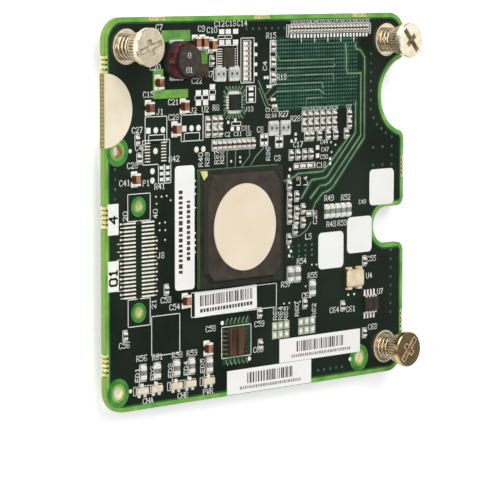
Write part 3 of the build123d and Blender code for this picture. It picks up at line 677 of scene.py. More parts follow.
# bare pads without parts, by length and width, and round ones by radius
finePads = {"right": 40.9, "pitch": 1.3, "count": 24, "every": 4}
fineX = finePads["right"] - finePads["pitch"] * np.arange(finePads["count"])
thinX = fineX[finePads["every"]::finePads["every"]]
barePads = {
    (1.9, 1.3): pairs((-15.2, -12.8, -10.1), (46.0, 43.2)) + pairs((-23.7, -21.1), (30.4, 27.7))
    + pairs([-18.6], (31.8, 28.9)),
    (1.5, 1.5): pairs((-41.5, -28.8), [21.3]),
    (1.7, 0.9): pairs([-4.3], (30.8, 29.3, 27.9)),
    (1.2, 0.9): pairs([-2.6], (42.4, 39.8, 37.2, 34.6)) + pairs((-36.9, -34.7), (11.6, 10.1, 8.6)),
    (1.3, 1.2): pairs([21.4], (14.1, 11.9)),
    (1.2, 1.1): pairs((-11.3, -9.1), [20.5]),
    (1.0, 0.9): pairs((0.0, 1.4), (18.0, 16.2)) + pairs((5.7, 7.1), (17.2, 15.5)),
    (0.8, 0.8): [(0.9, 33.6), (1.9, 33.6), (2.0, 31.2), (3.0, 31.2), (3.6, 27.7), (4.6, 27.7), (4.2, 26.0),
                 (5.2, 26.0), (10.6, 8.7), (10.2, 6.9), (10.2, -12.2), (11.0, -13.4), (10.4, -14.6),
                 (-10.2, 22.8), (-12.8, 22.3), (26.4, 10.8), (26.4, 9.5), (12.8, 18.1), (12.8, 16.7),
                 (11.2, 16.3)],
    (0.72, 1.0): pairs(fineX, [44.35]),
    (0.24, 1.4): pairs(thinX, [43.3]),
}
blockPlaces = pairs((4.9, 7.2, 9.5), (-33.2, -35.6)) + pairs((15.1, 17.4, 19.7), (-33.0, -35.4))
roundPads = {0.8: pairs((-38.9, -36.4, -26.2, -23.7), [21.3]), 0.62: blockPlaces,
             0.35: [(-11.7, 12.0), (-8.3, 11.7), (-8.4, 12.9)],
             0.3: [(26.7, 15.3), (28.5, 14.5), (27.0, 12.6)]}
bareRise, roundRise = 0.05, 0.06
bareRows = [(x, y, *size, 0) for size, places in barePads.items() for x, y in places]
roundRows = [(x, y, radius) for radius, places in roundPads.items() for x, y in places]
addPiece("barePads", [plates(bareRows, *onBoard(bareRise)), dots(roundRows, *onBoard(roundRise), 14)], padTin)

# two rows of narrow pads where a chip is left out
emptyChip = {"columns": (-41.8, -36.1), "low": 13.4, "pitch": 0.78, "count": 7, "pad": (1.8, 0.3),
             "rise": 0.04}
emptyY = emptyChip["low"] + emptyChip["pitch"] * np.arange(emptyChip["count"])
emptyRows = [(x, y, *emptyChip["pad"], 0) for x, y in pairs(emptyChip["columns"], emptyY)]
addPiece("emptyChipPads", [plates(emptyRows, *onBoard(emptyChip["rise"]))], padCream)

# tinned ends and solder pads of every chip part, from the CAD solids
chipEnds = {"share": 0.3, "proud": 0.02, "padReach": 0.38, "padMore": 0.06, "padRise": 0.07,
            "boxMore": (0.36, 0.62), "boxLine": 0.15}
chipPads = {"capacitorMore": (0.5, 0.9), "capacitorRise": 0.08, "memoryPad": (0.62, 1.7), "memoryOut": 0.7,
            "memoryRise": 0.06, "leadlessBar": 0.5, "leadlessOut": 0.3, "leadlessShort": 0.3,
            "leadlessRise": 0.25}
clock = {"corner": (1.5, 1.0), "in": 1.5, "out": 0.1, "down": 0.02}
arrays = {"pitch": 0.88, "end": (0.5, 0.9), "proud": 0.02, "mark": (0.6, 0.7), "markOut": 0.9,
          "markRise": 0.015}


# rows for both ends of each box: the long side carries them, a share of the length each
def endRows(low, high, share, proud, reach, more):
    size = high - low
    middle = (low + high) / 2
    rows = []
    for box, place in zip(size, middle):
        along = 1 if box[1] > box[0] else 0
        length, width = box[along], box[1 - along]
        end = length * share + reach + proud
        across = width + 2 * proud + more
        for side in (-1, 1):
            shift = side * (length / 2 + reach + proud - end / 2)
            x, y = place[0] + (shift if along == 0 else 0), place[1] + (shift if along == 1 else 0)
            rows.append((x, y, end, across, 0) if along == 0 else (x, y, across, end, 0))
    return rows


# rows of the tinned ends and rows of the solder pads below them
def tinnedRows(low, high):
    ends = endRows(low, high, chipEnds["share"], chipEnds["proud"], 0, 0)
    return ends, endRows(low, high, chipEnds["share"], 0, chipEnds["padReach"], chipEnds["padMore"])


endShapes, padShapes = [], []
for nodeName in ("small_capacitors", "chip_resistors"):
    low, high = solidBoxes(nodeName)
    ends, pads = tinnedRows(low, high)
    endShapes.append(plates(ends, boardFace, np.repeat(high[:, 2], 2) + chipEnds["proud"]))
    padShapes.append(plates(pads, *onBoard(chipEnds["padRise"])))

# pads under the large capacitors' ends, outside the memory chip's leads and as bars along the leadless chip
low, high = solidBoxes("large_capacitor_ends")
capacitorPads = np.column_stack([(low + high)[:, :2] / 2,
                                 (high - low)[:, :2] + np.array(chipPads["capacitorMore"]),
                                 np.zeros(len(low))])
padShapes.append(plates(capacitorPads, *onBoard(chipPads["capacitorRise"])))
low, high = solidBoxes("memory_leads")
leadPlaces = (low + high)[:, :2] / 2
away = np.sign(leadPlaces[:, 1] - (low.min(0) + high.max(0))[1] / 2)
leadPlaces[:, 1] += chipPads["memoryOut"] * away
padShapes.append(plates([(x, y, *chipPads["memoryPad"], 0) for x, y in leadPlaces],
                        *onBoard(chipPads["memoryRise"])))
low, high, middle = boxOf("leadless_chip_body")
barLength = high[0] - low[0] - chipPads["leadlessShort"]
barPlaces = (low[1] - chipPads["leadlessOut"], high[1] + chipPads["leadlessOut"])
leadlessBars = [(middle[0], y, barLength, chipPads["leadlessBar"], 0) for y in barPlaces]
padShapes.append(plates(leadlessBars, *onBoard(chipPads["leadlessRise"])))

# gold corners of the clock, ends and marks of the resistor arrays
low, high, middle = boxOf("oscillator_base")
cornerPlaces = pairs((low[0] + clock["in"], high[0] - clock["in"]),
                     (low[1] - clock["out"], high[1] + clock["out"]))
clockCorners = [(x, y, *clock["corner"], 0) for x, y in cornerPlaces]
addPiece("clockCorners", [plates(clockCorners, boardFace - sink, high[2] - clock["down"])],
         finishes["gold_lid"])
low, high = solidBoxes("resistor_arrays")
arrayTop = high[0, 2]
arrayEnds = [((a[0] + b[0]) / 2 + i * arrays["pitch"], y, *arrays["end"], 0)
             for a, b in zip(low, high) for i in np.arange(4) - 1.5 for y in (a[1], b[1])]
endShapes.append(plates(arrayEnds, boardFace - sink, arrayTop + arrays["proud"]))
arrayMarks = [((a[0] + b[0]) / 2 + side * arrays["markOut"], (a[1] + b[1]) / 2, *arrays["mark"], 0)
              for a, b in zip(low, high) for side in (-1, 1)]
addPiece("arrayMarks", [plates(arrayMarks, arrayTop - sink, arrayTop + arrays["markRise"])], digitInk)
addPiece("chipEnds", endShapes, finishes["solder"])
addPiece("solderPads", padShapes, padTin)
print("pads done")


# white print

glyphs = {
    "0": "10 30 41 45 36 16 05 01 10", "1": "15 26 20/10 30", "2": "05 16 36 45 44 00 40",
    "3": "05 16 36 45 44 33 42 41 30 10 01/13 33", "4": "30 36 02 42", "5": "46 06 04 34 43 41 30 10 01",
    "6": "46 16 05 01 10 30 41 42 33 03", "7": "06 46 10",
    "8": "13 04 05 16 36 45 44 33 13 02 01 10 30 41 42 33", "9": "00 30 41 45 36 16 05 04 13 43",
    "C": "41 30 10 01 05 16 36 45", "R": "00 06 36 45 44 33 03/23 40", "L": "06 00 40",
    "E": "46 06 00 40/03 33", "D": "00 06 26 44 42 20 00", "U": "06 01 10 30 41 46", "J": "36 31 20 10 01",
    "A": "00 26 40/12 32", "P": "00 06 36 45 44 33 03", "H": "00 06/40 46/03 43",
    "B": "00 06 36 45 44 33 03/33 42 41 30 00", "W": "06 10 23 30 46",
}
printing = {"rise": 0.03, "letter": 1.4, "weight": 0.15, "cells": 6, "step": 5.6, "line": 0.2, "sunk": 0.005,
            "inkRise": 0.02}


# rows of points turned about the origin by an angle in degrees
def swung(points, turn):
    c, s = math.cos(math.radians(turn)), math.sin(math.radians(turn))
    return points @ np.array([[c, s], [-s, c]])


# strokes of a word as plate rows: a glyph's points are x and y digits on a grid of four by six cells
def wordRows(word, x, y, height=printing["letter"], turn=0.0, weight=printing["weight"]):
    unit, stroke = height / printing["cells"], height * weight
    rows = []
    for place, letter in enumerate(word):
        for line in glyphs[letter].split("/"):
            points = np.array([[int(p[0]), int(p[1])] for p in line.split()], float)
            points[:, 0] += place * printing["step"]
            start, end = points[:-1] * unit, points[1:] * unit
            run = end - start
            length = np.linalg.norm(run, axis=1) + stroke
            rows.append(np.column_stack([(start + end) / 2, length, np.full(len(run), stroke),
                                         np.degrees(np.arctan2(run[:, 1], run[:, 0]))]))
    rows = np.concatenate(rows)
    rows[:, :2] = swung(rows[:, :2], turn) + np.array([x, y])
    rows[:, 4] += turn
    return rows


# four thin plates round a box given by its corners
def boxRows(x0, y0, x1, y1, line=printing["line"]):
    return np.array([((x0 + x1) / 2, y0, x1 - x0 + line, line, 0),
                     ((x0 + x1) / 2, y1, x1 - x0 + line, line, 0),
                     (x0, (y0 + y1) / 2, line, y1 - y0 + line, 0),
                     (x1, (y0 + y1) / 2, line, y1 - y0 + line, 0)])


outlines = [
    (-42.6, 18.1, -35.0, 24.8), (-29.9, 18.0, -22.0, 24.8), (-41.4, 18.1, -35.9, 20.1),
    (-28.8, 18.1, -23.3, 20.1), (-48.7, -1.5, -40.9, 5.4), (-48.7, -28.5, -41, -21.5),
    (-26.3, -28, 5.5, -21.6), (-15.2, -40.0, -4.2, -31.7), (-40.5, -36.8, -30.5, -26.5),
    (-43.5, 12.6, -34, 18.8), (-8.1, 32.4, -3.2, 44.2), (-17.0, 36.0, -9.4, 42.4), (-36.0, 7.6, -33.6, 12.6),
    (-38.0, 7.6, -35.7, 12.6), (2.9, 31.6, 5.1, 43.4), (-12.9, 24.8, -8.1, 30.0), (-18.2, 33.4, -13.6, 36.4),
    (-12.6, 33.4, -8.6, 36.4), (-6.1, 27.2, -2.6, 31.5), (-0.7, 15.5, 2.1, 18.7), (5.0, 14.8, 7.8, 17.9),
    (-11.5, 21.3, -8.1, 22.3), (9.2, 44.2, 9.9, 47.4), (41.9, 44.6, 42.5, 47.4), (-16.6, 44.2, -13.9, 45.0),
    (-14.0, 44.2, -11.5, 45.0), (-24.9, 28.5, -22.5, 29.6), (-22.2, 28.5, -20.0, 29.6),
    (-19.7, 29.8, -17.5, 30.9),
]
words = [
    ("C7", -38.7, 46.8), ("C9", -23.7, 46.2), ("C10", -20.5, 45.8), ("C12", -17.8, 47.4),
    ("C13", -13.6, 47.4), ("C14", -9.4, 47.4), ("C20", -40.8, 36.6), ("C15", -43.2, 29.8),
    ("C21", -34.4, 27.6), ("C23", -34.3, 23.7), ("C27", -47.1, 20.9), ("J1", -38.5, 25.3),
    ("J2", -26.6, 25.2), ("U2", -22.3, 25.3), ("C28", -48.8, 12.0), ("R42", -34.2, 13.0), ("C41", -51.5, 7.7),
    ("P1", -43.4, 7.3), ("R41", -39.3, 6.2), ("J3", -38.3, -11.6), ("R49", 24.3, -0.6), ("R52", 31.0, -0.8),
    ("R43", 25.2, -7.8), ("R53", 29.6, -7.8), ("L5", 16.8, -10.6), ("C3", 4.7, 11.3), ("C8", -1.9, 19.2),
    ("C55", 41.6, -18.5), ("U4", 41.4, -23.2), ("U7", 46.0, -28.0), ("R54", 13.5, -17.1),
    ("R55", 17.8, -21.3), ("R57", 7.4, -22.9), ("C62", 15.5, -26.6), ("C61", 33.3, -31.9),
    ("C63", 42.3, -37.7), ("C53", -37.2, -23.3), ("C54", -34.1, -25.4), ("C56", -51.8, -33.7),
    ("R56", -45.8, -37.6), ("R61", -40.2, -37.8), ("R58", -33.2, -38.0), ("R59", -27.9, -38.0),
    ("CHA", -43.6, -48.8), ("CHB", -31.2, -48.8), ("PWR", -22.0, -48.8), ("C58", -21.0, -32.3),
    ("R15", 1.5, 44.0), ("R27", 6.4, 23.0), ("R28", 10.9, 21.6), ("R13", 5.6, 32.9), ("U3", -20.8, 40.4),
    ("R7", -20.6, 34.4), ("C22", -26.0, 32.8), ("C17", 12.0, 14.6), ("C18", 21.2, 8.6), ("C59", -2.8, -32.7),
    ("C60", -3.2, -39.6), ("C64", 26.6, -31.6), ("R8", -18.4, 25.6), ("C40", -46.0, 16.4),
    ("C81", -7.7, 19.9, 1.2), ("J13", -6.5, 24.9, 1.2), ("C6", -6.0, 18.4, 1.1), ("C2", -13.9, 18.6, 1.1),
    ("C11", -10.6, 18.6, 1.1), ("C47", 23.0, 12.9, 1.1), ("C50", 22.6, 10.9, 1.1), ("C44", 22.6, 15.0, 1.1),
    ("C49", 38.2, -2.3, 1.1), ("C1", 1.3, 24.5, 1.0), ("C16", 3.5, 24.4, 1.0), ("R2", 1.3, 22.9, 1.0),
    ("R4", 3.7, 22.9, 1.0),
]
# even rows of small designators: first number, count, first place across, step, place up and letter height
wordLines = [(81, 12, 11.0, 2.6, 47.7, 0.95), (31, 6, 15.4, 2.4, 24.3, 0.85), (37, 1, 32.8, 0, 24.4, 0.85)]
words += [(f"C{first + i}", x + i * step, y, height)
          for first, count, x, step, y, height in wordLines for i in range(count)]
upright = [
    ("LED1", -44.9, -44.2), ("LED2", -39.5, -44.2), ("LED3", -33.2, -44.2), ("LED4", -27.6, -44.2),
    ("LED5", -21.6, -44.2), ("20", -48.9, -1.2), ("40", -38.4, -1.2), ("21", -39.0, -24.4),
    ("R60", 14.2, -31.2), ("R62", 20.9, -32.0), ("R63", 5.7, -31.5), ("R64", 7.8, -31.7), ("R65", 9.9, -31.9),
    ("L3", 14.7, 4.3), ("L4", 17.4, 4.2), ("C26", 21.2, -6.6), ("R40", -22.2, 11.2), ("R39", -19.8, 11.2),
    ("R37", -16.4, 11.6), ("R38", -14.4, 11.6), ("C4", 1.6, 35.6), ("R36", 2.9, 11.6),
]
wordShapes = [wordRows(*word) for word in words] + [wordRows(*word, turn=90) for word in upright]

# thin boxes round the small chips, except the upper resistors, and round the lights, with a bar inside
lightBox = {"left": 1.15, "right": 0.5, "more": 0.25, "bar": (0.2, 0.1)}
lowResistors = -12
outlineRows = [boxRows(*corners) for corners in outlines]
boxLine = chipEnds["boxLine"]
aside, beyond = chipEnds["boxMore"]
for nodeName in ("small_capacitors", "chip_resistors"):
    for low, high in zip(*solidBoxes(nodeName)):
        tall = high[1] - low[1] > high[0] - low[0]
        more = np.array((aside, beyond) if tall else (beyond, aside))
        if nodeName == "small_capacitors" or high[1] < lowResistors:
            outlineRows.append(boxRows(*(low[:2] - more), *(high[:2] + more), boxLine))
for low, high in zip(*solidBoxes("indicator_lights")):
    lowY, highY = low[1] - lightBox["more"], high[1] + lightBox["more"]
    outlineRows.append(boxRows(low[0] - lightBox["left"], lowY, high[0] + lightBox["right"], highY, boxLine))
    outlineRows.append(boxRows(low[0] - lightBox["bar"][0], lowY, low[0] - lightBox["bar"][1], highY,
                               boxLine))
printDots = [(-15.0, -30.5, 0.6), (-4.8, -41.0, 0.6), (34.0, -27.2, 0.35), (36.4, -27.2, 0.35)]
printLow, printHigh = onBoard(printing["rise"])
addPiece("printedWords", [plates(np.concatenate(wordShapes), printLow, printHigh)], printWhite)
addPiece("printedOutlines", [plates(np.concatenate(outlineRows), printLow, printHigh),
                             dots(printDots, printLow, printHigh)], printWhite)

# solid white blocks with dark digits, and dull plates under the two groups of round pads
whiteBlocks = [(-53.75, -0.65, 3.7, 7.9, 0), (-53.75, -15.1, 3.7, 7.8, 0)]
blockDigits = {"height": 2.5, "weight": 0.22, "words": [("4", -52.5, -1.6), ("01", -52.5, -17.4)]}
padBlocks = {"size": (2.05, 2.15), "rise": 0.02}
blockRows = [(x, y, *padBlocks["size"], 0) for x, y in blockPlaces]
addPiece("printedBlocks", [plates(whiteBlocks, printLow, printHigh)], printWhite)
addPiece("padBlocks", [plates(blockRows, *onBoard(padBlocks["rise"]))], padDull)
digits = [wordRows(*word, blockDigits["height"], 90, blockDigits["weight"]) for word in blockDigits["words"]]
addPiece("blockDigits",
         [plates(np.concatenate(digits), printHigh - printing["sunk"], printHigh + printing["inkRise"])],
         digitInk)

# gold corner mark on the controller's base and the round dimple in its cap
baseTop = boxOf("controller_base")[1][2]
capTop = boxOf("controller_cap")[1][2]
cornerMark = {"corners": [(-24.1, 10.05), (-22.7, 7.6), (-21.4, 8.8), (-21.6, 10.05)], "rise": 0.03}
dimple = {"ring": (-19.8, 6.2, 0.75, 0.6), "rise": 0.02}
addPiece("cornerMark", [prisms([cornerMark["corners"]], baseTop - sink, baseTop + cornerMark["rise"])],
         markGold)
addPiece("capDimple", [rings([dimple["ring"]], capTop - sink, capTop + dimple["rise"], 20)],
         finishes["chip_black"])

# value digits on the inductor's top
drumTop = boxOf("inductor_core")[1][2]
drumDigits = {"height": 1.3, "words": [("0", -32.6, 39.7), ("01", -33.2, 36.0)]}
drumRows = np.concatenate([wordRows(*word, drumDigits["height"]) for word in drumDigits["words"]])
addPiece("drumDigits", [plates(drumRows, drumTop - sink, drumTop + printing["inkRise"])], printWhite)
print("print done")


# labels

barCodes = {"bar": (0.19, 0.34, 0.52), "rise": 0.015, "dash": (0.35, 0.75), "dashHeight": 0.8, "dashGap": 0.3,
            "barHeight": 2.9, "mostBars": 400, "mostDashes": 200}


# rows in a label's own directions become rows on the board: turned with the label and moved to its middle
def onLabel(nodeName, along, up, lengths, height, turn):
    places = np.column_stack([along, np.full(along.shape, up)])
    places = boxOf(nodeName)[2][:2] + swung(places, turn)
    return np.column_stack([places, lengths, np.full(along.shape, height), np.full(along.shape, turn)])


# bars between two places along a label: random widths added up, every second one inked
def barRows(nodeName, start, end, up, turn, seed):
    widths = np.random.default_rng(seed).choice(barCodes["bar"], barCodes["mostBars"])
    ends = np.cumsum(widths)
    inkedBars = (np.arange(barCodes["mostBars"]) % 2 == 0) & (ends < end - start)
    along = start + ends[inkedBars] - widths[inkedBars] / 2
    return onLabel(nodeName, along, up, widths[inkedBars], barCodes["barHeight"], turn)


# a line of plain dashes in place of small print: random lengths with even gaps
def dashRows(nodeName, start, end, up, turn, seed, size=1.0):
    lengths = np.random.default_rng(seed).uniform(*barCodes["dash"], barCodes["mostDashes"]) * size
    gap = barCodes["dashGap"] * size
    ends = np.cumsum(lengths + gap)
    kept = ends < end - start
    along = start + ends[kept] - gap - lengths[kept] / 2
    return onLabel(nodeName, along, up, lengths[kept], barCodes["dashHeight"] * size, turn)


# label, start, end, place up, turn and seed of each line, and the size of its dashes
bars = [barRows(*line) for line in (("bar_code_label_left", -9.6, 10.2, 1.0, 1.3, 3),
                                    ("bar_code_label_right", -9.4, 9.4, 0.7, 0, 5),
                                    ("bar_code_label_low", -8.6, 9.6, 0.7, 0, 9))]
darkDashes = [dashRows(*line) for line in (("bar_code_label_left", -9.6, 10.2, -1.6, 1.3, 4, 1.2),
                                           ("tall_label", -11.8, 11.0, 1.5, 90, 12, 1.7),
                                           ("tall_label", -8.6, 8.2, -1.3, 90, 14, 1.5))]
paleDashes = [dashRows(*line) for line in (("bar_code_label_right", -11.4, 12.4, -1.8, 0, 6),
                                           ("bar_code_label_low", -11.4, 12.4, -1.8, 0, 10))]
labelTop = boxOf("bar_code_label_low")[1][2]
inkLow, inkHigh = labelTop - sink, labelTop + barCodes["rise"]
addPiece("labelBars", [plates(np.concatenate(bars + darkDashes), inkLow, inkHigh)], barInk)
addPiece("labelDashes", [plates(np.concatenate(paleDashes), inkLow, inkHigh)], dashInk)

# blank labels with round corners in place of the plain ones
cornerRadii = {"square_labels": 1.3, "tall_label": 1.0}
for nodeName, radius in cornerRadii.items():
    papers = [prisms([roundRectangle((a + b)[:2] / 2, (b - a)[:2], radius)], a[2], b[2])
              for a, b in zip(*solidBoxes(nodeName))]
    piece = addPiece(nodeName.split("_")[0] + "Paper", papers, finishes["white_paper"])
    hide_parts(nodeName)
print("labels done")


# underside: border, hole rings, vias below the controller, traces, pads and print

under = {"rise": 0.02, "middle": (-8.55, -5.15), "grid": 22, "pitch": 1.27, "via": (0.3, 0.12),
         "open": (4, 6.5), "tailRows": (24.9, 44.1), "tailFrom": 6.9, "tails": 24, "tail": (0.6, 1.3),
         "trace": 0.3, "traceDown": 0.015, "plugRuns": 8}
underLow, underHigh = boardBack - under["rise"], boardBack + sink
addPiece("underBorder", [borderBand(*bareEdges, underLow, underHigh)], borderGreen)
addPiece("underBorderShade", [borderBand(*shadeEdges, underLow, underHigh)], shadeGreen)
addPiece("underHoleRings", [rings(ringRows, underLow, underHigh, ringSides)], ringGreen)
addPiece("underHoleRims", [rings(innerRows, underLow - under["rise"], underHigh, ringSides)], innerGreen)


# even runs: one path moved step by step along x or y
def evenRuns(path, count, stepX, stepY):
    return [np.array(path, float) + np.array([stepX, stepY]) * i for i in range(count)]


# a word's rows mirrored about its start, to be read from below
def fromBelow(word, x, y):
    rows = wordRows(word, x, y)
    rows[:, 0] = 2 * x - rows[:, 0]
    rows[:, 4] *= -1
    return rows


# square grid of vias with an open ring between its middle block and its outer rows
pitch = under["pitch"]
columns, rows = np.meshgrid(*[np.arange(under["grid"]) - (under["grid"] - 1) / 2] * 2, indexing="ij")
out = np.maximum(np.abs(columns), np.abs(rows))
kept = (out < under["open"][0]) | (out > under["open"][1])
underVias = np.array(under["middle"]) + np.column_stack([columns[kept], rows[kept]]) * pitch

# bundles of traces: to the connector's tails, and to the right, left and low edges, where each ends in a via
underRuns = evenRuns([(8.2, 24.6), (8.2, 22.9), (-5.8, 8.9), (-5.8, 8.2)], under["plugRuns"], pitch, 0)
underRuns += evenRuns([(4.8, -2.6), (16, -2.6), (22, -8.6), (33, -8.6)], 6, 0, -pitch)
underRuns += evenRuns([(-21.9, 3.7), (-29, 3.7), (-33, 7.7), (-39, 7.7)], 7, 0, -pitch)
underRuns += evenRuns([(-18.1, -18.5), (-18.1, -25), (-29, -36), (-29, -41)], 9, pitch, 0)
underVias = np.concatenate([underVias, [run[-1] for run in underRuns[under["plugRuns"]:]]])
viaSizes = np.broadcast_to(np.array(under["via"]), underVias.shape)
addPiece("underVias", [rings(np.hstack([underVias, viaSizes]), underLow, underHigh, 8)], viaTeal)
underStrips = [strip(run, under["trace"], boardBack - under["traceDown"], underHigh) for run in underRuns]
addPiece("underTraces", underStrips, traceGreen)

# the connector's tails, and the ends and pads of the chips
tailX = under["tailFrom"] + np.arange(under["tails"]) * pitch
tailRows = [(x, y, *under["tail"], 0) for x, y in pairs(tailX, under["tailRows"])]
low, high = solidBoxes("underside_capacitors")
underEnds, underPads = tinnedRows(low, high)
addPiece("underPads", [plates(tailRows + underPads, boardBack - chipEnds["padRise"], underHigh)], padTin)
endLow = np.repeat(low[:, 2], 2) - chipEnds["proud"]
addPiece("underChipEnds", [plates(underEnds, endLow, underHigh)], finishes["solder"])
underBoxes = [(5.0, 23.4, 38.0, 45.6), (-24.4, -21.0, 7.3, 10.7), (14.0, -38.0, 40.0, -26.0)]
underWords = [("J4", 42.6, 40.0), ("U1", 10.6, 8.4), ("C71", -6.9, 0.2), ("C76", -6.9, -11.8),
              ("R71", 36.0, -6.4), ("L7", -40.0, 9.2)]
underRows = [boxRows(*corners) for corners in underBoxes] + [fromBelow(*word) for word in underWords]
addPiece("underPrint", [plates(np.concatenate(underRows), boardBack - printing["rise"], underHigh)],
         printWhite)
print("underside done")


# captive screws

# springs: a round wire on a helix whose first and last half turn lie flat
spring = {"turns": 3.4, "wire": 0.31, "perTurn": 30, "flat": 0.9, "travel": 1.8}
for side in screwSides:
    low, high, middle = boxOf("screw_spring_" + side)
    radius = (high[0] - low[0]) / 2 - spring["wire"]
    turnNumber = np.linspace(0, spring["turns"], int(spring["turns"] * spring["perTurn"]) + 1)
    share = np.clip((turnNumber - spring["flat"] / 2) / (spring["turns"] - spring["flat"]), 0, 1)
    angle = turnNumber * 2 * np.pi
    outward = np.stack([np.cos(angle), np.sin(angle), np.zeros_like(angle)], -1)
    path = outward * radius + np.array([middle[0], middle[1], 0])
    path[:, 2] = low[2] + spring["wire"] + share * (high[2] - low[2] - 2 * spring["wire"])
    piece = addPiece("springWire_" + side, [wire(path, outward, spring["wire"])], finishes["spring_steel"],
                     smooth=True)
    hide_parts("screw_spring_" + side)
    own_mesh(piece)

# threads on the screw ends: a saw-tooth profile turned about the screw's axis
thread = {"pitch": 0.5, "depth": 0.14, "from": 0.5, "to": 4.0, "inner": 1.2, "radius": 1.5}
for side in screwSides:
    middle = boxOf("thumbscrew_" + side)[2]
    flanks = round((thread["to"] - thread["from"]) / thread["pitch"] * 2) + 1
    height = np.linspace(thread["from"], thread["to"], flanks)
    radius = thread["radius"] + thread["depth"] * (np.arange(flanks) % 2)
    radius = np.concatenate([radius, [thread["inner"], thread["inner"]]])
    height = np.concatenate([height, height[[-1, 0]]])
    addPiece("screwThread_" + side, [turned(middle[:2], radius, height, 28)], finishes["screw_steel"],
             body="screw_" + side)

# fine knurl over each screw's barrel: a gear-shaped ring, and a plain dark ring of painted shade that fills
# its grooves
knurl = {"teeth": 30, "tip": 3.84, "root": 3.5, "inner": 3.2, "from": 10.95, "to": 13.85,
         "groove": (3.57, 3.25), "grooveShort": 0.02, "grooveSides": 60}
knurlNickel = noiseFinish("knurlNickel", (170, 150, 116), (216, 200, 166), grain=900, fine=2600,
                          rough=(0.25, 0.4), metal=0.35)
grooveShade = noiseFinish("knurlGroovePaintedShade", (78, 62, 40), (120, 102, 74), grain=900, metal=0.2)
for side in screwSides:
    middle = boxOf("thumbscrew_" + side)[2]
    teeth = gearRing(middle[:2], *[knurl[key] for key in ("teeth", "tip", "root", "inner", "from", "to")])
    addPiece("barrelKnurl_" + side, [teeth], knurlNickel, body="screw_" + side)
    groove = rings([(middle[0], middle[1], *knurl["groove"])], knurl["from"] + knurl["grooveShort"],
                   knurl["to"] - knurl["grooveShort"], knurl["grooveSides"])
    addPiece("knurlGroovesPaintedShade_" + side, [groove], grooveShade, body="screw_" + side)

# drive recess in each head: plates on the floors of slot and cross and strips along their edges, in each
# screw's own tones of painted reflection, painted shade and painted highlights
drive = {"slot": (7.5, 1.2), "cross": 3.8, "depth": 0.8, "edge": 0.16, "edgeRise": 0.03, "play": 0.04,
         "lap": 0.02, "floorRise": (0.03, 0.04),
         "turns": {"top_left": 19.0, "top_right": -48.0, "bottom_right": 49.0}}
# floor tones: painted reflection at the top-left screw, painted shade at the other two
recessPaintedLightTones = {"top_left": ((196, 184, 154), (250, 245, 228)), "top_right": ((80, 66, 40), (138, 120, 82)),
              "bottom_right": ((92, 70, 42), (180, 156, 116))}
# edge tones: painted shade at the top-left screw, painted highlights at the other two
edgePaintedLightTones = {"top_left": ((84, 70, 48), (190, 176, 146)), "top_right": ((120, 106, 76), (190, 178, 148)),
             "bottom_right": ((236, 224, 198), (252, 246, 232))}


# edge strips of one arm of the recess, from the crossing outwards: two along its sides and one across its end
def armEdges(length, angle):
    half, edge = drive["slot"][1] / 2, drive["edge"]
    run = length / 2 - half
    rows = np.array([(half + run / 2 + edge / 2, half + edge / 2, run + edge, edge, 0),
                     (half + run / 2 + edge / 2, -half - edge / 2, run + edge, edge, 0),
                     (length / 2 + edge / 2, 0, edge, 2 * half, 0)])
    rows[:, :2] = swung(rows[:, :2], angle)
    rows[:, 4] = angle
    return rows


for side in screwSides:
    low, high, middle = boxOf("thumbscrew_" + side)
    turn, top = drive["turns"][side], high[2]
    slotLength, slotWidth = drive["slot"]
    arms = [(slotLength, turn), (drive["cross"], turn + 90)]
    play = drive["play"]
    floors = [(*middle[:2], length - play, slotWidth - play, angle) for length, angle in arms]
    floorTop = top - drive["depth"]
    floorPlates = plates(floors, floorTop - drive["lap"], floorTop + np.array(drive["floorRise"]))
    recessPaintedLight = noiseFinish("drivePaintedRecessLight_" + side, *recessPaintedLightTones[side], grain=900, rough=(0.3, 0.5), metal=0.2)
    addPiece("paintedRecessFloor_" + side, [floorPlates], recessPaintedLight, body="screw_" + side)
    edges = np.concatenate([armEdges(length, angle + half) for length, angle in arms for half in (0, 180)])
    edges[:, :2] += middle[:2]
    edgePaintedLight = noiseFinish("drivePaintedEdgeLight_" + side, *edgePaintedLightTones[side], **paintedLightShared)
    addPiece("paintedRecessEdges_" + side, [plates(edges, top - drive["lap"], top + drive["edgeRise"])], edgePaintedLight,
             body="screw_" + side)

# bright rim of painted highlight on the flange of each retainer
flangeRimHighlight = {"width": 0.42, "rise": 0.03, "in": 0.02, "sides": 48}
rimShine = noiseFinish("flangeRimHighlight", (226, 214, 190), (250, 243, 228), **paintedLightShared)
for side in screwSides:
    low, high, middle = boxOf("screw_retainer_" + side)
    reach = (high[0] - low[0]) / 2
    rim = [(middle[0], middle[1], reach - flangeRimHighlight["in"], reach - flangeRimHighlight["width"])]
    rimRing = rings(rim, high[2] - flangeRimHighlight["in"], high[2] + flangeRimHighlight["rise"], flangeRimHighlight["sides"])
    addPiece("flangeRimHighlight_" + side, [rimRing], rimShine)

# winding of the inductor: round wires one above another, turned about the drum
winding = {"wires": 6, "ridge": 0.16, "steps": 6, "inner": 2.02}
low, high, middle = boxOf("inductor_winding")
phase = np.linspace(0, winding["wires"], winding["wires"] * winding["steps"] + 1)
radius = (high[0] - low[0]) / 2 - winding["ridge"] + winding["ridge"] * np.abs(np.sin(np.pi * phase))
height = low[2] + phase / winding["wires"] * (high[2] - low[2])
radius = np.concatenate([radius, [winding["inner"]] * 2])
height = np.concatenate([height, height[[-1, 0]]])
piece = addPiece("woundWire", [turned(middle[:2], radius, height)], finishes["copper"], smooth=True)
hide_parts("inductor_winding")
print("screws and winding done")


# floor, light and camera

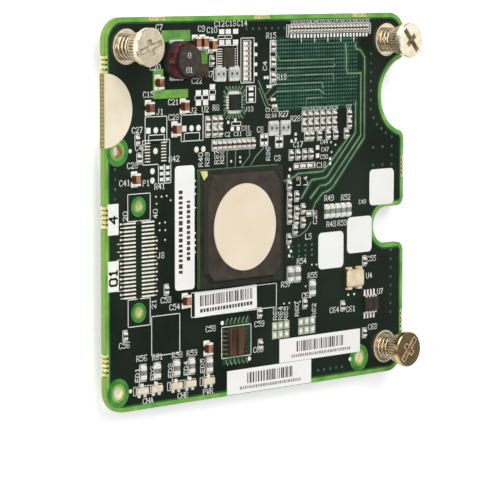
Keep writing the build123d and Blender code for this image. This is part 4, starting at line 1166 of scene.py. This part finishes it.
pale = {"size": 6.0, "drop": 0.0002, "glow": 0.45}
reach = pale["size"] / 2
floorCorners = [(x * reach, y * reach, -pale["drop"]) for x, y in ((-1, -1), (1, -1), (1, 1), (-1, 1))]
floorMesh = bpy.data.meshes.new("paleFloor")
floorMesh.from_pydata(floorCorners, [], [(0, 1, 2, 3)])
floorPaint = noiseFinish("floorPaint", (238, 238, 238), (242, 242, 242), grain=2, fine=30, rough=(0.7, 0.8),
                         gloss=0.2, lift=0.0)
floorShader = floorPaint.node_tree.nodes["Principled BSDF"]
floorShader.inputs["Emission Color"].default_value = (1, 1, 1, 1)
floorShader.inputs["Emission Strength"].default_value = pale["glow"]
floorMesh.materials.append(floorPaint)
floor = bpy.data.objects.new("paleFloor", floorMesh)
bpy.context.scene.collection.objects.link(floor)

lights = [
    {"name": "overheadSoftbox", "place": (-0.3, 0.75, 0.95), "size": 0.8, "power": 10.2},
    {"name": "leftSoftbox", "place": (-1.0, 0.1, 0.55), "size": 0.7, "power": 5.2},
    {"name": "lowFill", "place": (-0.2, -0.9, 0.7), "size": 0.9, "power": 2.1},
    {"name": "reflectionCard", "place": (0.6, 0.13, 0.55), "size": 0.28, "power": 0.32},
]
for row in lights:
    lamp = bpy.data.lights.new(row["name"], "AREA")
    lamp.shape = "SQUARE"
    lamp.size = row["size"]
    lamp.energy = row["power"]
    holder = bpy.data.objects.new(row["name"], lamp)
    holder.location = row["place"]
    holder.rotation_mode = "QUATERNION"
    holder.rotation_quaternion = (-Vector(row["place"])).to_track_quat("-Z", "Y")
    bpy.context.scene.collection.objects.link(holder)

# studio surroundings: white at the horizon, dim overhead, by the height of the viewing direction
studio = {"heights": (0.05, 0.4), "strengths": (0.95, 0.16)}
world = bpy.data.worlds.new("studio")
world.use_nodes = True
sky = world.node_tree
direction = putNode(sky, "ShaderNodeTexCoord")
rise = putNode(sky, "ShaderNodeSeparateXYZ", {"Vector": (direction, "Generated")})
glow = putNode(sky, "ShaderNodeMapRange", {"Value": (rise, "Z"), "From Min": studio["heights"][0],
                                           "From Max": studio["heights"][1], "To Min": studio["strengths"][0],
                                           "To Max": studio["strengths"][1]})
sky.links.new(glow.outputs["Result"], sky.nodes["Background"].inputs["Strength"])
sky.nodes["Background"].inputs["Color"].default_value = (1, 1, 1, 1)
bpy.context.scene.world = world
bpy.context.scene.view_settings.view_transform = "Standard"

# camera from the photograph's fitted view: turns about X, Y and Z and the way to the board's centre, in mm
view = {"pixels": 500, "focal": 2714.853, "turns": (0.104540773, 0.791836637, -0.00120811979),
        "offset": (3.2486265, 12.202988, -722.264598), "sensor": 36.0, "clip": (0.01, 20)}
turnX, turnY, turnZ = view["turns"]
towards = Matrix.Rotation(turnZ, 3, "Z") @ Matrix.Rotation(turnX, 3, "X") @ Matrix.Rotation(turnY, 3, "Y")
lens = bpy.data.cameras.new("photoCamera")
lens.sensor_width = view["sensor"]
lens.lens = view["focal"] / view["pixels"] * view["sensor"]
lens.clip_start, lens.clip_end = view["clip"]
camera = bpy.data.objects.new("photoCamera", lens)
eye = -(towards.transposed() @ Vector(view["offset"])) + Vector((0, 0, boardFace))
camera.matrix_world = Matrix.Translation(eye * mm) @ towards.transposed().to_4x4()
bpy.context.scene.collection.objects.link(camera)
bpy.context.scene.camera = camera
print("stage done")
